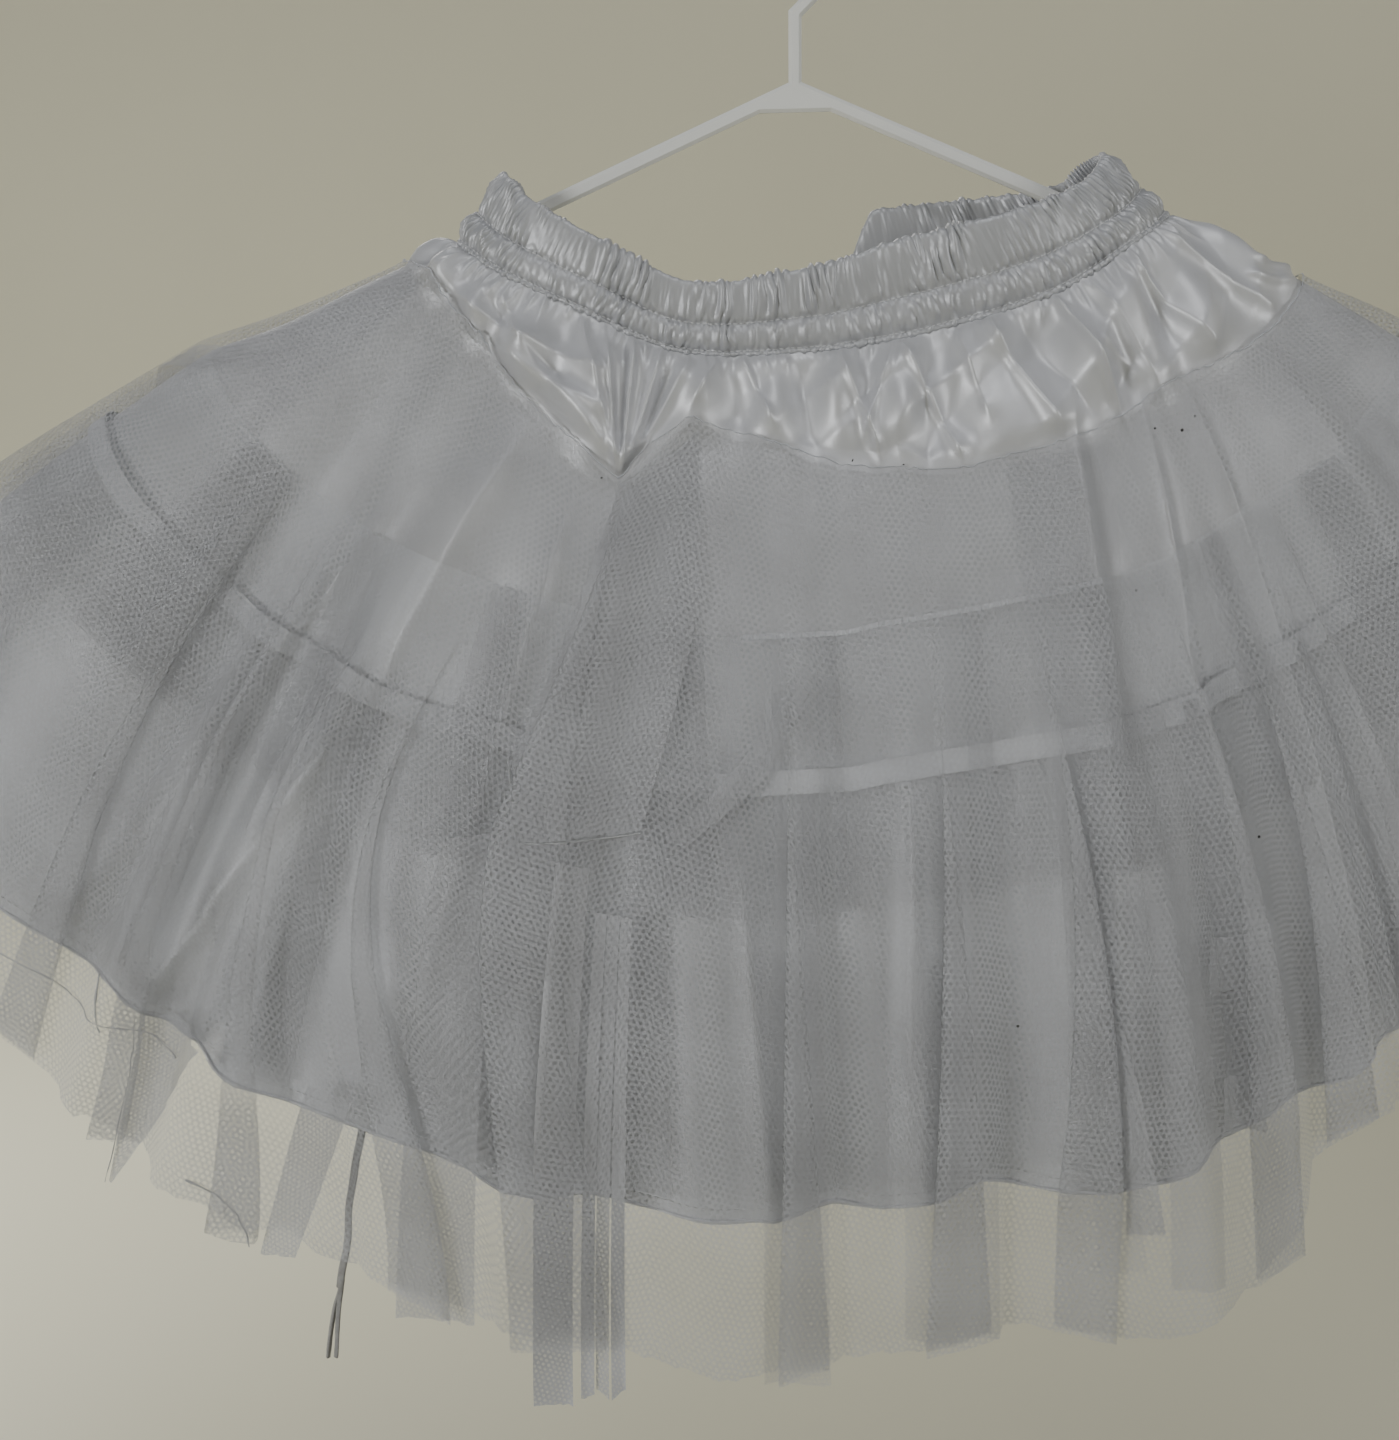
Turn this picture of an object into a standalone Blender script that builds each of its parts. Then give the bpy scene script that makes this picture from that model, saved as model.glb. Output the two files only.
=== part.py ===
# A petticoat-style ballet tutu on a slim moulded hanger: a gathered satin waistband, a satin yoke
# and lining, two inner tiers of tulle and a sheer pleated outer tulle.
#
# Metres, +Z up, +Y to the back. The origin is the inner top of the hanger's hook.
# "around" is an angle in degrees about the garment: 0 front, 90 right end, 180 back, -90 left end.

import math

import bmesh
import bpy
from mathutils import Vector

# Hanger
HOOK_RADIUS = 0.0225        # inside of the hook
HOOK_END_ANGLE = 196.0      # where the hook's free end stops, in degrees from +X
HOOK_START_ANGLE = -40.0    # where the hook's arc begins above the bend
BAR = 0.0050                # hook and stem
ARM = 0.0056                # arms
HANGER_DEPTH = 0.0044       # front to back
HANGER_EDGE = 0.0012        # rounding of the moulded edges
JUNCTION = -0.0825          # height of the stem's foot
BEND = -0.0560              # height of the bend between stem and hook
ARM_SLOPE = 22.5            # degrees below level
HANGER_HALF = 0.1333        # middle to the end of an arm
GUSSET_HALF = 0.0140        # half width of the web's flat bottom

# Cloth
WALL = 0.0012               # thickness of every cloth wall
SEAM = 0.0005               # clearance between sewn pieces
FOLD_MITER = 0.66           # keeps a wall's corners short where it turns back on itself
WAIST_LEFT_TOP = -0.116     # ends of the waistband's upper edge
WAIST_RIGHT_TOP = 0.122
WAIST_LEFT_BOTTOM = -0.136  # ends of its lower edge
WAIST_RIGHT_BOTTOM = 0.149
WAIST_FRONT = 0.032         # how far the band stands in front of the hanger
WAIST_BACK = 0.015          # and behind it
WAIST_SQUARENESS = 6        # power of the rounding at the ends
WAIST_GATHERS = 128         # 64 on the front, 64 on the back
GATHER_HEIGHT = 0.0014      # ridge above groove
YOKE_GATHERS = 28
YOKE_PUFF = 0.0060          # height of the yoke's crumpled gathers
UNEVEN = ((3, 1.3), (7, 0.9))  # waves that push the gathers apart: times around, size

# Lengths down the cloth from the waistband's lower edge
YOKE_BEGINS = 0.0014        # clear of the band's edge
YOKE_END = 0.112
TAPE = 0.166                # where the lower tier is sewn on
TIER_UPPER_END = 0.218
MID_SKIRT = 0.270
TIER_LOWER_END = 0.325
LINING_END = 0.334
TULLE_SEAM = 0.030          # shallowest part of the outer tulle's seam
TULLE_END = 0.390

# Height of the waistband's edges. across is -1 at the left end, 0 in the middle, 1 at the right end.
WAIST_COLUMNS = ("across", "front_top", "front_bottom", "back_top", "back_bottom")
WAIST_EDGES = [
    (-1.00, -0.1115, -0.1370, -0.1115, -0.1370),
    (-0.90, -0.1225, -0.1470, -0.1260, -0.1500),
    (-0.65, -0.1395, -0.1640, -0.1470, -0.1740),
    (-0.38, -0.1545, -0.1805, -0.1590, -0.1860),
    (0.00, -0.1505, -0.1815, -0.1580, -0.1850),
    (0.14, -0.1465, -0.1790, -0.1560, -0.1810),
    (0.24, -0.1425, -0.1770, -0.1300, -0.1690),
    (0.33, -0.1400, -0.1745, -0.1270, -0.1620),
    (0.65, -0.1315, -0.1615, -0.1240, -0.1550),
    (0.88, -0.1220, -0.1430, -0.1200, -0.1430),
    (1.00, -0.1095, -0.1330, -0.1095, -0.1330),
]

# Satin waves
FLUTE_TOP = 0.0010          # height of the satin's flutes at the tulle's seam
FLUTE_HEM = 0.0045          # and at the lining's hem

# Pleats of the outer tulle
PLEAT_STEP = 0.85           # degrees around between the creases of an unfolded pleat
PLEAT_TURN = 0.12           # how far past each other the middle creases are when upright
PLEAT_LEVELS = (0.0054, 0.0054, 0.0034, 0.0020, 0.0, 0.0)  # the six creases' heights
OPEN_STEP = 6.0             # widest step between the outer tulle's columns, in degrees around
SIDE_STEP = 3.0             # and at the sides, where the gores spread
SIDE_BEGINS = 0.95          # sine of the angle where the sides begin
SATIN_COLUMNS = 120         # columns of the yoke, the lining and the inner tiers

# Rolled strip of tulle that hangs behind the lining
STRIP_AROUND = -43.0
STRIP_TOP = 0.270
STRIP_END = 0.436
STRIP_WIDTH = 0.0052
STRIP_END_WIDTH = 0.0036
STRIP_DEPTH = 0.0018

# Colours: red, green, blue, roughness
MATERIALS = {
    "satin": (0.83, 0.84, 0.87, 0.32),
    "tulle": (0.80, 0.81, 0.84, 0.80),
    "moulded": (0.86, 0.86, 0.80, 0.38),
}

# The waistband's cross-section, round from the outside of its upper edge. down is 0 at the upper
# edge and 1 at the lower; out is how far outside the band's middle; gather is the share of a gather.
WAIST_SECTION_COLUMNS = ("down", "out", "gather")
WAIST_SECTION = [
    (0.00, 0.0007, 0.5),
    (0.30, 0.0012, 1.0),
    (0.60, 0.0007, 0.4),
    (0.80, 0.0014, 1.0),
    (1.00, 0.0007, 0.4),
    (1.00, -0.0007, 0.0),
    (0.00, -0.0007, 0.0),
]

# How the skirt falls from the band. heading is the way a gore leans, in degrees around; lean_top and
# lean_hem are its angle off plumb at the band and at the hem; seam is the yoke's open length above
# the outer tulle; hem adds to the outer tulle's length.
FALL_COLUMNS = ("around", "heading", "lean_top", "lean_hem", "seam", "hem")
FALL = [
    (0.0, 2.0, 27.0, 6.0, 0.040, -0.004),
    (20.0, 6.0, 27.0, 6.0, 0.054, -0.006),
    (35.0, 27.0, 27.0, 8.5, 0.058, -0.008),
    (42.0, 41.0, 27.0, 9.0, 0.058, -0.012),
    (49.0, 47.0, 28.0, 10.0, 0.059, -0.044),
    (64.0, 59.0, 31.0, 14.0, 0.060, -0.040),
    (80.0, 80.0, 52.0, 25.0, 0.062, -0.026),
    (90.0, 90.0, 68.0, 38.0, 0.062, -0.016),
    (100.0, 100.0, 58.0, 30.0, 0.062, -0.008),
    (125.0, 118.0, 26.0, 15.0, 0.058, 0.000),
    (155.0, 150.0, 13.0, 4.0, 0.052, 0.004),
    (180.0, 181.0, 11.0, 2.0, 0.050, 0.008),
    (205.0, 212.0, 13.0, 4.0, 0.048, 0.006),
    (235.0, 242.0, 29.0, 18.0, 0.040, 0.000),
    (259.0, 259.0, 55.0, 36.0, 0.028, -0.006),
    (270.0, 270.0, 69.0, 49.0, 0.024, -0.014),
    (281.0, 281.0, 54.0, 34.0, 0.022, -0.026),
    (290.0, 284.0, 39.0, 22.0, 0.022, -0.014),
    (311.0, 300.0, 30.0, 17.0, 0.036, -0.010),
    (323.0, 328.0, 27.0, 10.0, 0.058, -0.010),
    (331.0, 338.0, 27.0, 8.0, 0.063, -0.008),
    (341.0, 350.0, 27.0, 7.0, 0.036, -0.002),
]

# Broad folds that run through every layer. left and right are how far the fold spreads, in degrees.
FOLD_COLUMNS = ("around", "height", "left", "right", "begins")
FOLDS = [
    (-66.0, 0.012, 7.0, 6.0, 0.060),
    (-52.0, 0.014, 6.0, 6.0, 0.040),
    (-33.0, 0.010, 6.0, 8.0, 0.080),
    (-14.0, 0.011, 8.0, 12.0, 0.030),
    (10.0, 0.008, 9.0, 10.0, 0.050),
    (33.0, 0.026, 12.0, 6.0, 0.030),
    (55.0, 0.006, 8.0, 7.0, 0.040),
    (70.0, 0.008, 6.0, 6.0, 0.060),
    (118.0, 0.014, 10.0, 9.0, 0.050),
    (146.0, 0.012, 11.0, 9.0, 0.050),
    (178.0, 0.015, 12.0, 12.0, 0.040),
    (212.0, 0.012, 10.0, 11.0, 0.050),
    (243.0, 0.014, 9.0, 8.0, 0.050),
]

# Pressed pleats of the outer tulle. width is the strip's width at the hem; turn is 1 where the upper
# layer's edge lies to the right and -1 where it lies to the left; the cloth starts to fold at begins,
# stands upright in the fold at upright and is folded to its width at full, all in lengths down the
# cloth; drop is how far the pleat's end hangs lower.
PLEAT_COLUMNS = ("around", "width", "turn", "begins", "upright", "full", "drop")
PLEATS = [
    (-72.0, 0.030, 1, 0.088, 0.166, 0.380, 0.000),
    (-61.5, 0.018, -1, 0.088, 0.166, 0.380, 0.016),
    (-47.5, 0.018, -1, 0.088, 0.166, 0.380, 0.008),
    (-38.0, 0.026, 1, 0.088, 0.166, 0.380, 0.004),
    (-28.0, 0.044, -1, 0.060, 0.087, 0.200, 0.022),
    (-6.0, 0.028, -1, 0.088, 0.166, 0.380, 0.004),
    (14.0, 0.038, -1, 0.088, 0.166, 0.380, 0.000),
    (26.0, 0.024, 1, 0.088, 0.166, 0.330, 0.000),
    (40.0, 0.026, 1, 0.088, 0.166, 0.330, 0.004),
    (49.0, 0.028, -1, 0.088, 0.166, 0.380, 0.000),
    (62.0, 0.030, 1, 0.088, 0.166, 0.380, 0.006),
    (76.0, 0.026, -1, 0.088, 0.166, 0.380, 0.000),
    (130.0, 0.034, 1, 0.088, 0.166, 0.380, 0.004),
    (163.0, 0.032, -1, 0.088, 0.166, 0.380, 0.000),
    (194.0, 0.036, 1, 0.088, 0.166, 0.380, 0.006),
    (229.0, 0.030, -1, 0.088, 0.166, 0.380, 0.004),
]
CREASES = 6

# How far the outer tulle swings sideways half way down, in degrees, by place around.
SWAY_COLUMNS = ("around", "swing")
SWAY = [
    (-90.0, 0.0),
    (-61.5, -2.5),
    (-47.5, -5.0),
    (-38.0, -6.5),
    (-28.0, -5.0),
    (-15.0, -1.5),
    (0.0, 0.0),
    (40.0, 1.5),
    (76.0, 0.0),
    (180.0, 1.5),
    (269.0, 0.0),
]

# How far the middle of each tulle layer lies outside the crests of the satin, by length of cloth.
GAP_COLUMNS = ("length", "lower", "upper", "outer")
LAYER_GAPS = [
    (0.112, 0.0018, 0.0018, 0.0050),
    (0.166, 0.0018, 0.0044, 0.0085),
    (0.218, 0.0028, 0.0054, 0.0118),
    (0.325, 0.0036, 0.0054, 0.0124),
    (0.470, 0.0036, 0.0054, 0.0110),
]


def mix(a, b, share):
    return a + (b - a) * share


def clamp(value, low=0.0, high=1.0):
    return max(low, min(high, value))


def ease(share):
    share = clamp(share)
    return share * share * (3.0 - 2.0 * share)


def table_value(rows, column, at, period=None):
    """A smooth curve through one column of a table whose first column is the place."""
    count = len(rows)
    places = [row[0] for row in rows]
    if period:
        at = (at - places[0]) % period + places[0]
        index = max(i for i in range(count) if places[i] <= at)
    else:
        at = clamp(at, places[0], places[-1])
        index = min(max(i for i in range(count) if places[i] <= at), count - 2)

    def point(i):
        if period:
            turn, i = divmod(i, count)
            value = rows[i][column]
            if column == 1 and rows is FALL:
                value += turn * period
            return places[i] + turn * period, value
        i = int(clamp(i, 0, count - 1))
        return places[i], rows[i][column]

    (p0, v0), (p1, v1), (p2, v2), (p3, v3) = [point(index + k) for k in (-1, 0, 1, 2)]
    slope_in = (v2 - v0) / (p2 - p0) if p2 > p0 else 0.0
    slope_out = (v3 - v1) / (p3 - p1) if p3 > p1 else 0.0
    span = p2 - p1
    s = (at - p1) / span
    return (v1 * (1 + 2 * s) * (1 - s) ** 2 + v2 * s * s * (3 - 2 * s)
            + slope_in * span * s * (1 - s) ** 2 - slope_out * span * s * s * (1 - s))


def named(columns, row):
    return dict(zip(columns, row))


def waist_point(around, down):
    """The waistband's middle surface; down is 0 at its upper edge and 1 at its lower edge."""
    turn = math.radians(around)
    across = math.sin(turn)
    left = mix(WAIST_LEFT_TOP, WAIST_LEFT_BOTTOM, down)
    right = mix(WAIST_RIGHT_TOP, WAIST_RIGHT_BOTTOM, down)
    bulge = math.sqrt(max(0.0, 1.0 - abs(across) ** WAIST_SQUARENESS))
    front = math.cos(turn) > 0.0
    upper = WAIST_COLUMNS.index("front_top" if front else "back_top")
    top = table_value(WAIST_EDGES, upper, across)
    bottom = table_value(WAIST_EDGES, upper + 1, across)
    depth = -WAIST_FRONT if front else WAIST_BACK
    return Vector((mix(left, right, (1 + across) / 2), depth * bulge, mix(top, bottom, down)))


def fall(around):
    """The FALL table's values at any place around."""
    places = range(1, len(FALL_COLUMNS))
    return named(FALL_COLUMNS[1:], [table_value(FALL, column, around, 360.0) for column in places])


def gore_point(around, length):
    """The skirt's bare surface: each gore hangs from the band in a flat arc."""
    gore = fall(around)
    top = math.radians(gore["lean_top"])
    bend = (math.radians(gore["lean_hem"]) - top) / TULLE_END
    end = top + bend * length
    out = (math.cos(top) - math.cos(end)) / bend
    drop = (math.sin(end) - math.sin(top)) / bend + math.sin(top) * WALL / 2
    heading = math.radians(gore["heading"])
    sideways = Vector((math.sin(heading), -math.cos(heading), 0.0))
    return waist_point(around, 1.0) + sideways * out - Vector((0.0, 0.0, drop))


def gore_normal(around, length):
    """Outward direction of the bare surface."""
    sideways = gore_point(around + 0.5, length) - gore_point(around - 0.5, length)
    downward = gore_point(around, length + 0.002) - gore_point(around, length - 0.002)
    return downward.cross(sideways).normalized()


def broad_folds(around, length):
    """Height of the folds that run through every layer."""
    height = 0.0
    for row in FOLDS:
        fold = named(FOLD_COLUMNS, row)
        away = (around - fold["around"] + 180.0) % 360.0 - 180.0
        spread = fold["right"] if away > 0.0 else fold["left"]
        if abs(away) < spread:
            grown = ease((length - fold["begins"]) / (TULLE_END - fold["begins"]))
            height += fold["height"] * grown * (1.0 + math.cos(math.pi * away / spread)) / 2
    return height


def satin_crest(around, length):
    """Height of the yoke's crumpled gathers, which die away into soft flutes down the lining."""
    seam = fall(around)["seam"]
    if length < seam:
        share = clamp(length / seam)
        return YOKE_PUFF * math.sin(math.pi * share) + FLUTE_TOP * share
    return mix(FLUTE_TOP, FLUTE_HEM, clamp((length - seam) / (LINING_END - seam)))


def satin_point(around, length, out=0.0):
    """A point of the yoke or the lining, which rise and sink with every gather."""
    turn = math.radians(around)
    shift = sum(size * math.sin(times * turn) for times, size in UNEVEN)
    wave = (1 + math.sin(YOKE_GATHERS * turn + shift)) / 2
    height = broad_folds(around, length) + wave * satin_crest(around, length) + out
    return gore_point(around, length) + gore_normal(around, length) * height


def tulle_point(around, length, out):
    """A point of a tulle layer, out metres above the crests of the satin."""
    height = broad_folds(around, length) + satin_crest(around, length) + out
    return gore_point(around, length) + gore_normal(around, length) * height


def outer_gap(around, length):
    """The outer tulle's gap: sewn down on the yoke at its seam, clear of the tiers below it."""
    start = LAYER_GAPS[0]
    seam = fall(around)["seam"]
    column = GAP_COLUMNS.index("outer")
    if length < start[0]:
        return mix(WALL + SEAM, start[column], ease((length - seam) / (start[0] - seam)))
    return table_value(LAYER_GAPS, column, length)


def even_columns():
    return [360.0 * c / SATIN_COLUMNS for c in range(SATIN_COLUMNS)]


def pleat_half(pleat):
    """Half of a pleat's width, in degrees around at the hem."""
    hem = gore_point(pleat["around"] + 0.5, TULLE_END) - gore_point(pleat["around"] - 0.5, TULLE_END)
    return pleat["width"] / 2 / hem.length


def pleat_columns():
    """Columns of the outer tulle: six creases to a pleat, the tops of the broad folds, and filling."""
    anchors = []
    for row in PLEATS:
        pleat = named(PLEAT_COLUMNS, row)
        reach = max(pleat_half(pleat) + PLEAT_STEP, 2.5 * PLEAT_STEP)
        anchors.append((pleat["around"] - reach, pleat["around"] + reach, pleat))
    for top in [row[0] for row in FOLDS] + [-90.0, 90.0]:
        if not any(start - PLEAT_STEP < top < end + PLEAT_STEP for start, end, pleat in anchors):
            anchors.append((top, top, None))
    anchors.sort(key=lambda anchor: anchor[0])
    columns = []
    for (start, end, pleat), follower in zip(anchors, anchors[1:] + anchors[:1]):
        if pleat:
            columns += [((start + end) / 2 + (k - 2.5) * PLEAT_STEP, pleat, k) for k in range(CREASES)]
        else:
            columns.append((start, None, 0))
        gap = (follower[0] - end) % 360.0
        side = abs(math.sin(math.radians(end + gap / 2))) > SIDE_BEGINS
        count = max(1, round(gap / (SIDE_STEP if side else OPEN_STEP)))
        columns += [(end + gap * k / count, None, 0) for k in range(1, count)]
    return columns


def swung(around, length):
    """Where a column of the outer tulle stands after its sideways swing."""
    down = clamp((length - TULLE_SEAM) / (TULLE_END - TULLE_SEAM))
    return around + table_value(SWAY, SWAY_COLUMNS.index("swing"), around, 360.0) * math.sin(math.pi * down) ** 2


def pleat_point(pleat, crease, length):
    """A crease of a pleat. The six creases lie on one flat strip, stacked as the pleat closes."""
    middle = swung(pleat["around"], length)
    half = pleat_half(pleat)
    closed = (-half - PLEAT_STEP, half, half, -half, -half, half + PLEAT_STEP)[crease]
    levels = PLEAT_LEVELS if pleat["turn"] > 0 else PLEAT_LEVELS[::-1]
    upright = (PLEAT_STEP / 2 + PLEAT_TURN) / (half + PLEAT_STEP / 2)
    if length < pleat["upright"]:
        grown = upright * clamp((length - pleat["begins"]) / (pleat["upright"] - pleat["begins"]))
    else:
        share = clamp((length - pleat["upright"]) / (pleat["full"] - pleat["upright"]))
        grown = mix(upright, 1.0, share)
    reach = mix(2.5 * PLEAT_STEP, half + PLEAT_STEP, grown)
    share = (mix((crease - 2.5) * PLEAT_STEP, closed, grown) / reach + 1) / 2
    edges = []
    for around in (middle - reach, middle + reach):
        edges.append(tulle_point(around, length, outer_gap(around, length)))
    level = levels[crease] * clamp(grown / upright)
    return edges[0].lerp(edges[1], share) + gore_normal(middle, length) * level


def tulle_row(columns, length_of):
    """A row of the outer tulle. length_of gives the length down the cloth for a column."""
    row = []
    for column in columns:
        around, pleat, crease = column
        length = length_of(column)
        if pleat:
            row.append(pleat_point(pleat, crease, length))
        else:
            around = swung(around, length)
            row.append(tulle_point(around, length, outer_gap(around, length)))
    return row


def tulle_hem(column):
    """Length of the outer tulle at a column, with the ends of the pleats that hang lower."""
    around, pleat, crease = column
    drop = pleat["drop"] if pleat and 0 < crease < CREASES - 1 else 0.0
    return TULLE_END + fall(around)["hem"] + drop


def outer_rows():
    """The outer tulle from its seam to its hem."""
    columns = pleat_columns()
    rows = []
    for share in (0.0, 0.5):
        rows.append(tulle_row(columns, lambda column: mix(fall(column[0])["seam"], YOKE_END, share)))
    for length in (YOKE_END, TAPE, TIER_UPPER_END, MID_SKIRT, TIER_LOWER_END):
        rows.append(tulle_row(columns, lambda column: length))
    rows.append(tulle_row(columns, tulle_hem))
    return rows


def yoke_rows():
    """The yoke from just under the band, past the outer tulle's seam, to the lining."""
    rows = []
    for share in (0.0, 0.5, 1.0):
        rows.append([satin_point(a, mix(YOKE_BEGINS, fall(a)["seam"], share)) for a in even_columns()])
    for share in (0.5, 1.0):
        rows.append([satin_point(a, mix(fall(a)["seam"], YOKE_END, share)) for a in even_columns()])
    return rows


def lining_rows(lengths):
    return [[satin_point(around, length) for around in even_columns()] for length in lengths]


def tier_rows(layer, lengths):
    gap = GAP_COLUMNS.index(layer)
    rows = []
    for length in lengths:
        out = table_value(LAYER_GAPS, gap, length)
        rows.append([tulle_point(around, length, out) for around in even_columns()])
    return rows


def sheet_normals(rows):
    """Normals of a sheet that closes on itself sideways, lengthened where it folds sharply."""
    count = len(rows[0])
    normals = []
    for r, row in enumerate(rows):
        above = rows[max(r - 1, 0)]
        below = rows[min(r + 1, len(rows) - 1)]
        line = []
        for c in range(count):
            before = (row[c] - row[c - 1]).normalized()
            after = (row[(c + 1) % count] - row[c]).normalized()
            along = (before + after).normalized()
            normal = (below[c] - above[c]).cross(along).normalized()
            line.append(normal / max(FOLD_MITER, along.dot(after)))
        normals.append(line)
    return normals


def make_object(name, points, faces, material):
    """A mesh object with its faces pointing out."""
    mesh = bpy.data.meshes.new(name)
    mesh.from_pydata([tuple(point) for point in points], [], faces)
    mesh.validate()
    solid = bmesh.new()
    solid.from_mesh(mesh)
    bmesh.ops.recalc_face_normals(solid, faces=solid.faces)
    if solid.calc_volume(signed=True) < 0.0:
        bmesh.ops.reverse_faces(solid, faces=solid.faces)
    bmesh.ops.triangulate(solid, faces=solid.faces)
    solid.to_mesh(mesh)
    solid.free()
    mesh.shade_smooth()
    mesh.set_sharp_from_angle(angle=math.radians(50.0))
    mesh.materials.append(material)
    piece = bpy.data.objects.new(name, mesh)
    bpy.context.scene.collection.objects.link(piece)
    return piece


def ring_faces(loops, count):
    """Faces of a tube whose cross-section is the closed list of loops."""
    faces = []
    for r in range(loops):
        for c in range(count):
            here, there = r * count, (r + 1) % loops * count
            after = (c + 1) % count
            faces.append((here + c, here + after, there + after, there + c))
    return faces


def make_wall(name, rows, material):
    """A cloth wall of even thickness on a sheet that closes on itself sideways."""
    normals = sheet_normals(rows)
    sides = []
    for way in (WALL / 2, -WALL / 2):
        sides.append([[p + n * way for p, n in zip(*pair)] for pair in zip(rows, normals)])
    points = [point for side in sides for row in side for point in row]
    count = len(rows[0])
    inner = len(rows) * count
    faces = []
    for r in range(len(rows) - 1):
        for c in range(count):
            after = (c + 1) % count
            near, far = r * count + c, r * count + after
            low, low_far = near + count, far + count
            if (rows[r][c] - rows[r + 1][after]).length < (rows[r][after] - rows[r + 1][c]).length:
                pair = [(near, low, low_far), (near, low_far, far)]
            else:
                pair = [(near, low, far), (low, low_far, far)]
            faces += pair
            faces += [tuple(inner + corner for corner in reversed(face)) for face in pair]
    for edge in (0, inner - count):
        for c in range(count):
            near, far = edge + c, edge + (c + 1) % count
            cap = (near, far, inner + far, inner + near)
            faces.append(cap if edge == 0 else cap[::-1])
    return make_object(name, points, faces, material)


def make_waistband(material):
    """A plain inner wall and gathered outer points: two puffed channels with stitching between."""
    count = WAIST_GATHERS * 2
    normals = []
    for c in range(count):
        around = 360.0 * c / count
        sideways = waist_point(around + 1.0, 0.5) - waist_point(around - 1.0, 0.5)
        downward = waist_point(around, 1.0) - waist_point(around, 0.0)
        normals.append(downward.cross(sideways).normalized())
    loops = []
    for row in WAIST_SECTION:
        section = named(WAIST_SECTION_COLUMNS, row)
        loop = []
        for c in range(count):
            ridge = GATHER_HEIGHT * section["gather"] * (c % 2)
            middle = waist_point(360.0 * c / count, section["down"])
            loop.append(middle + normals[c] * (section["out"] + ridge))
        loops.append(loop)
    points = [point for loop in loops for point in loop]
    return make_object("waistband", points, ring_faces(len(loops), count), material)


def offset_path(path, half):
    """The two sides of a bar of even width that follows a path in the XZ plane."""
    right = []
    left = []
    for i, (x, z) in enumerate(path):
        before = path[max(i - 1, 0)]
        after = path[min(i + 1, len(path) - 1)]
        ways = [Vector((x - before[0], z - before[1])), Vector((after[0] - x, after[1] - z))]
        ways = [way.normalized() for way in ways if way.length > 0.0]
        along = sum(ways, Vector((0.0, 0.0))).normalized()
        reach = half / along.dot(ways[0])
        right.append((x + along.y * reach, z - along.x * reach))
        left.append((x - along.y * reach, z + along.x * reach))
    return right, left


def arc(x, z, radius, start, end, count):
    turns = [math.radians(mix(start, end, k / count)) for k in range(count + 1)]
    return [(x + radius * math.cos(turn), z + radius * math.sin(turn)) for turn in turns]


def hanger_outline():
    """The hanger seen from the front, counter-clockwise from the right of the stem's foot."""
    slope = math.radians(ARM_SLOPE)
    half = ARM / 2

    def arm_edge(x, side):
        return JUNCTION - math.tan(slope) * x + side * half / math.cos(slope)

    tip_x = HANGER_HALF - half
    tip_z = JUNCTION - math.tan(slope) * tip_x
    foot = arm_edge(BAR / 2, 1)
    hook = arc(0.0, -HOOK_RADIUS, HOOK_RADIUS + BAR / 2, HOOK_START_ANGLE, HOOK_END_ANGLE, 20)
    right, left = offset_path([(0.0, foot), (0.0, BEND)] + hook, BAR / 2)
    tip = arc(hook[-1][0], hook[-1][1], BAR / 2, HOOK_END_ANGLE, HOOK_END_ANGLE + 180.0, 6)[1:-1]
    right_tip = arc(tip_x, tip_z, half, -90.0 - ARM_SLOPE, 90.0 - ARM_SLOPE, 6)
    left_tip = [(-x, z) for x, z in reversed(right_tip)]
    web = arm_edge(GUSSET_HALF, -1)
    return right + tip + left[::-1] + left_tip + [(-GUSSET_HALF, web), (GUSSET_HALF, web)] + right_tip


def make_hanger(material):
    """The outline as a moulded bar with its edges rounded off."""
    outline = hanger_outline()
    closed = outline[-1:] + outline + outline[:1]
    inset = []
    for before, (x, z), after in zip(closed, outline, closed[2:]):
        ways = [Vector((x - before[0], z - before[1])), Vector((after[0] - x, after[1] - z))]
        ways = [way.normalized() for way in ways]
        along = (ways[0] + ways[1]).normalized()
        reach = HANGER_EDGE / along.dot(ways[0])
        inset.append((x - along.y * reach, z + along.x * reach))
    back = HANGER_DEPTH / 2
    levels = [(inset, -back), (outline, HANGER_EDGE - back), (outline, back - HANGER_EDGE), (inset, back)]
    count = len(outline)
    points = [(x, y, z) for shape, y in levels for x, z in shape]
    faces = ring_faces(4, count)[: 3 * count]
    faces.append(tuple(range(count)))
    faces.append(tuple(range(4 * count - 1, 3 * count - 1, -1)))
    return make_object("hanger", points, faces, material)


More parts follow.
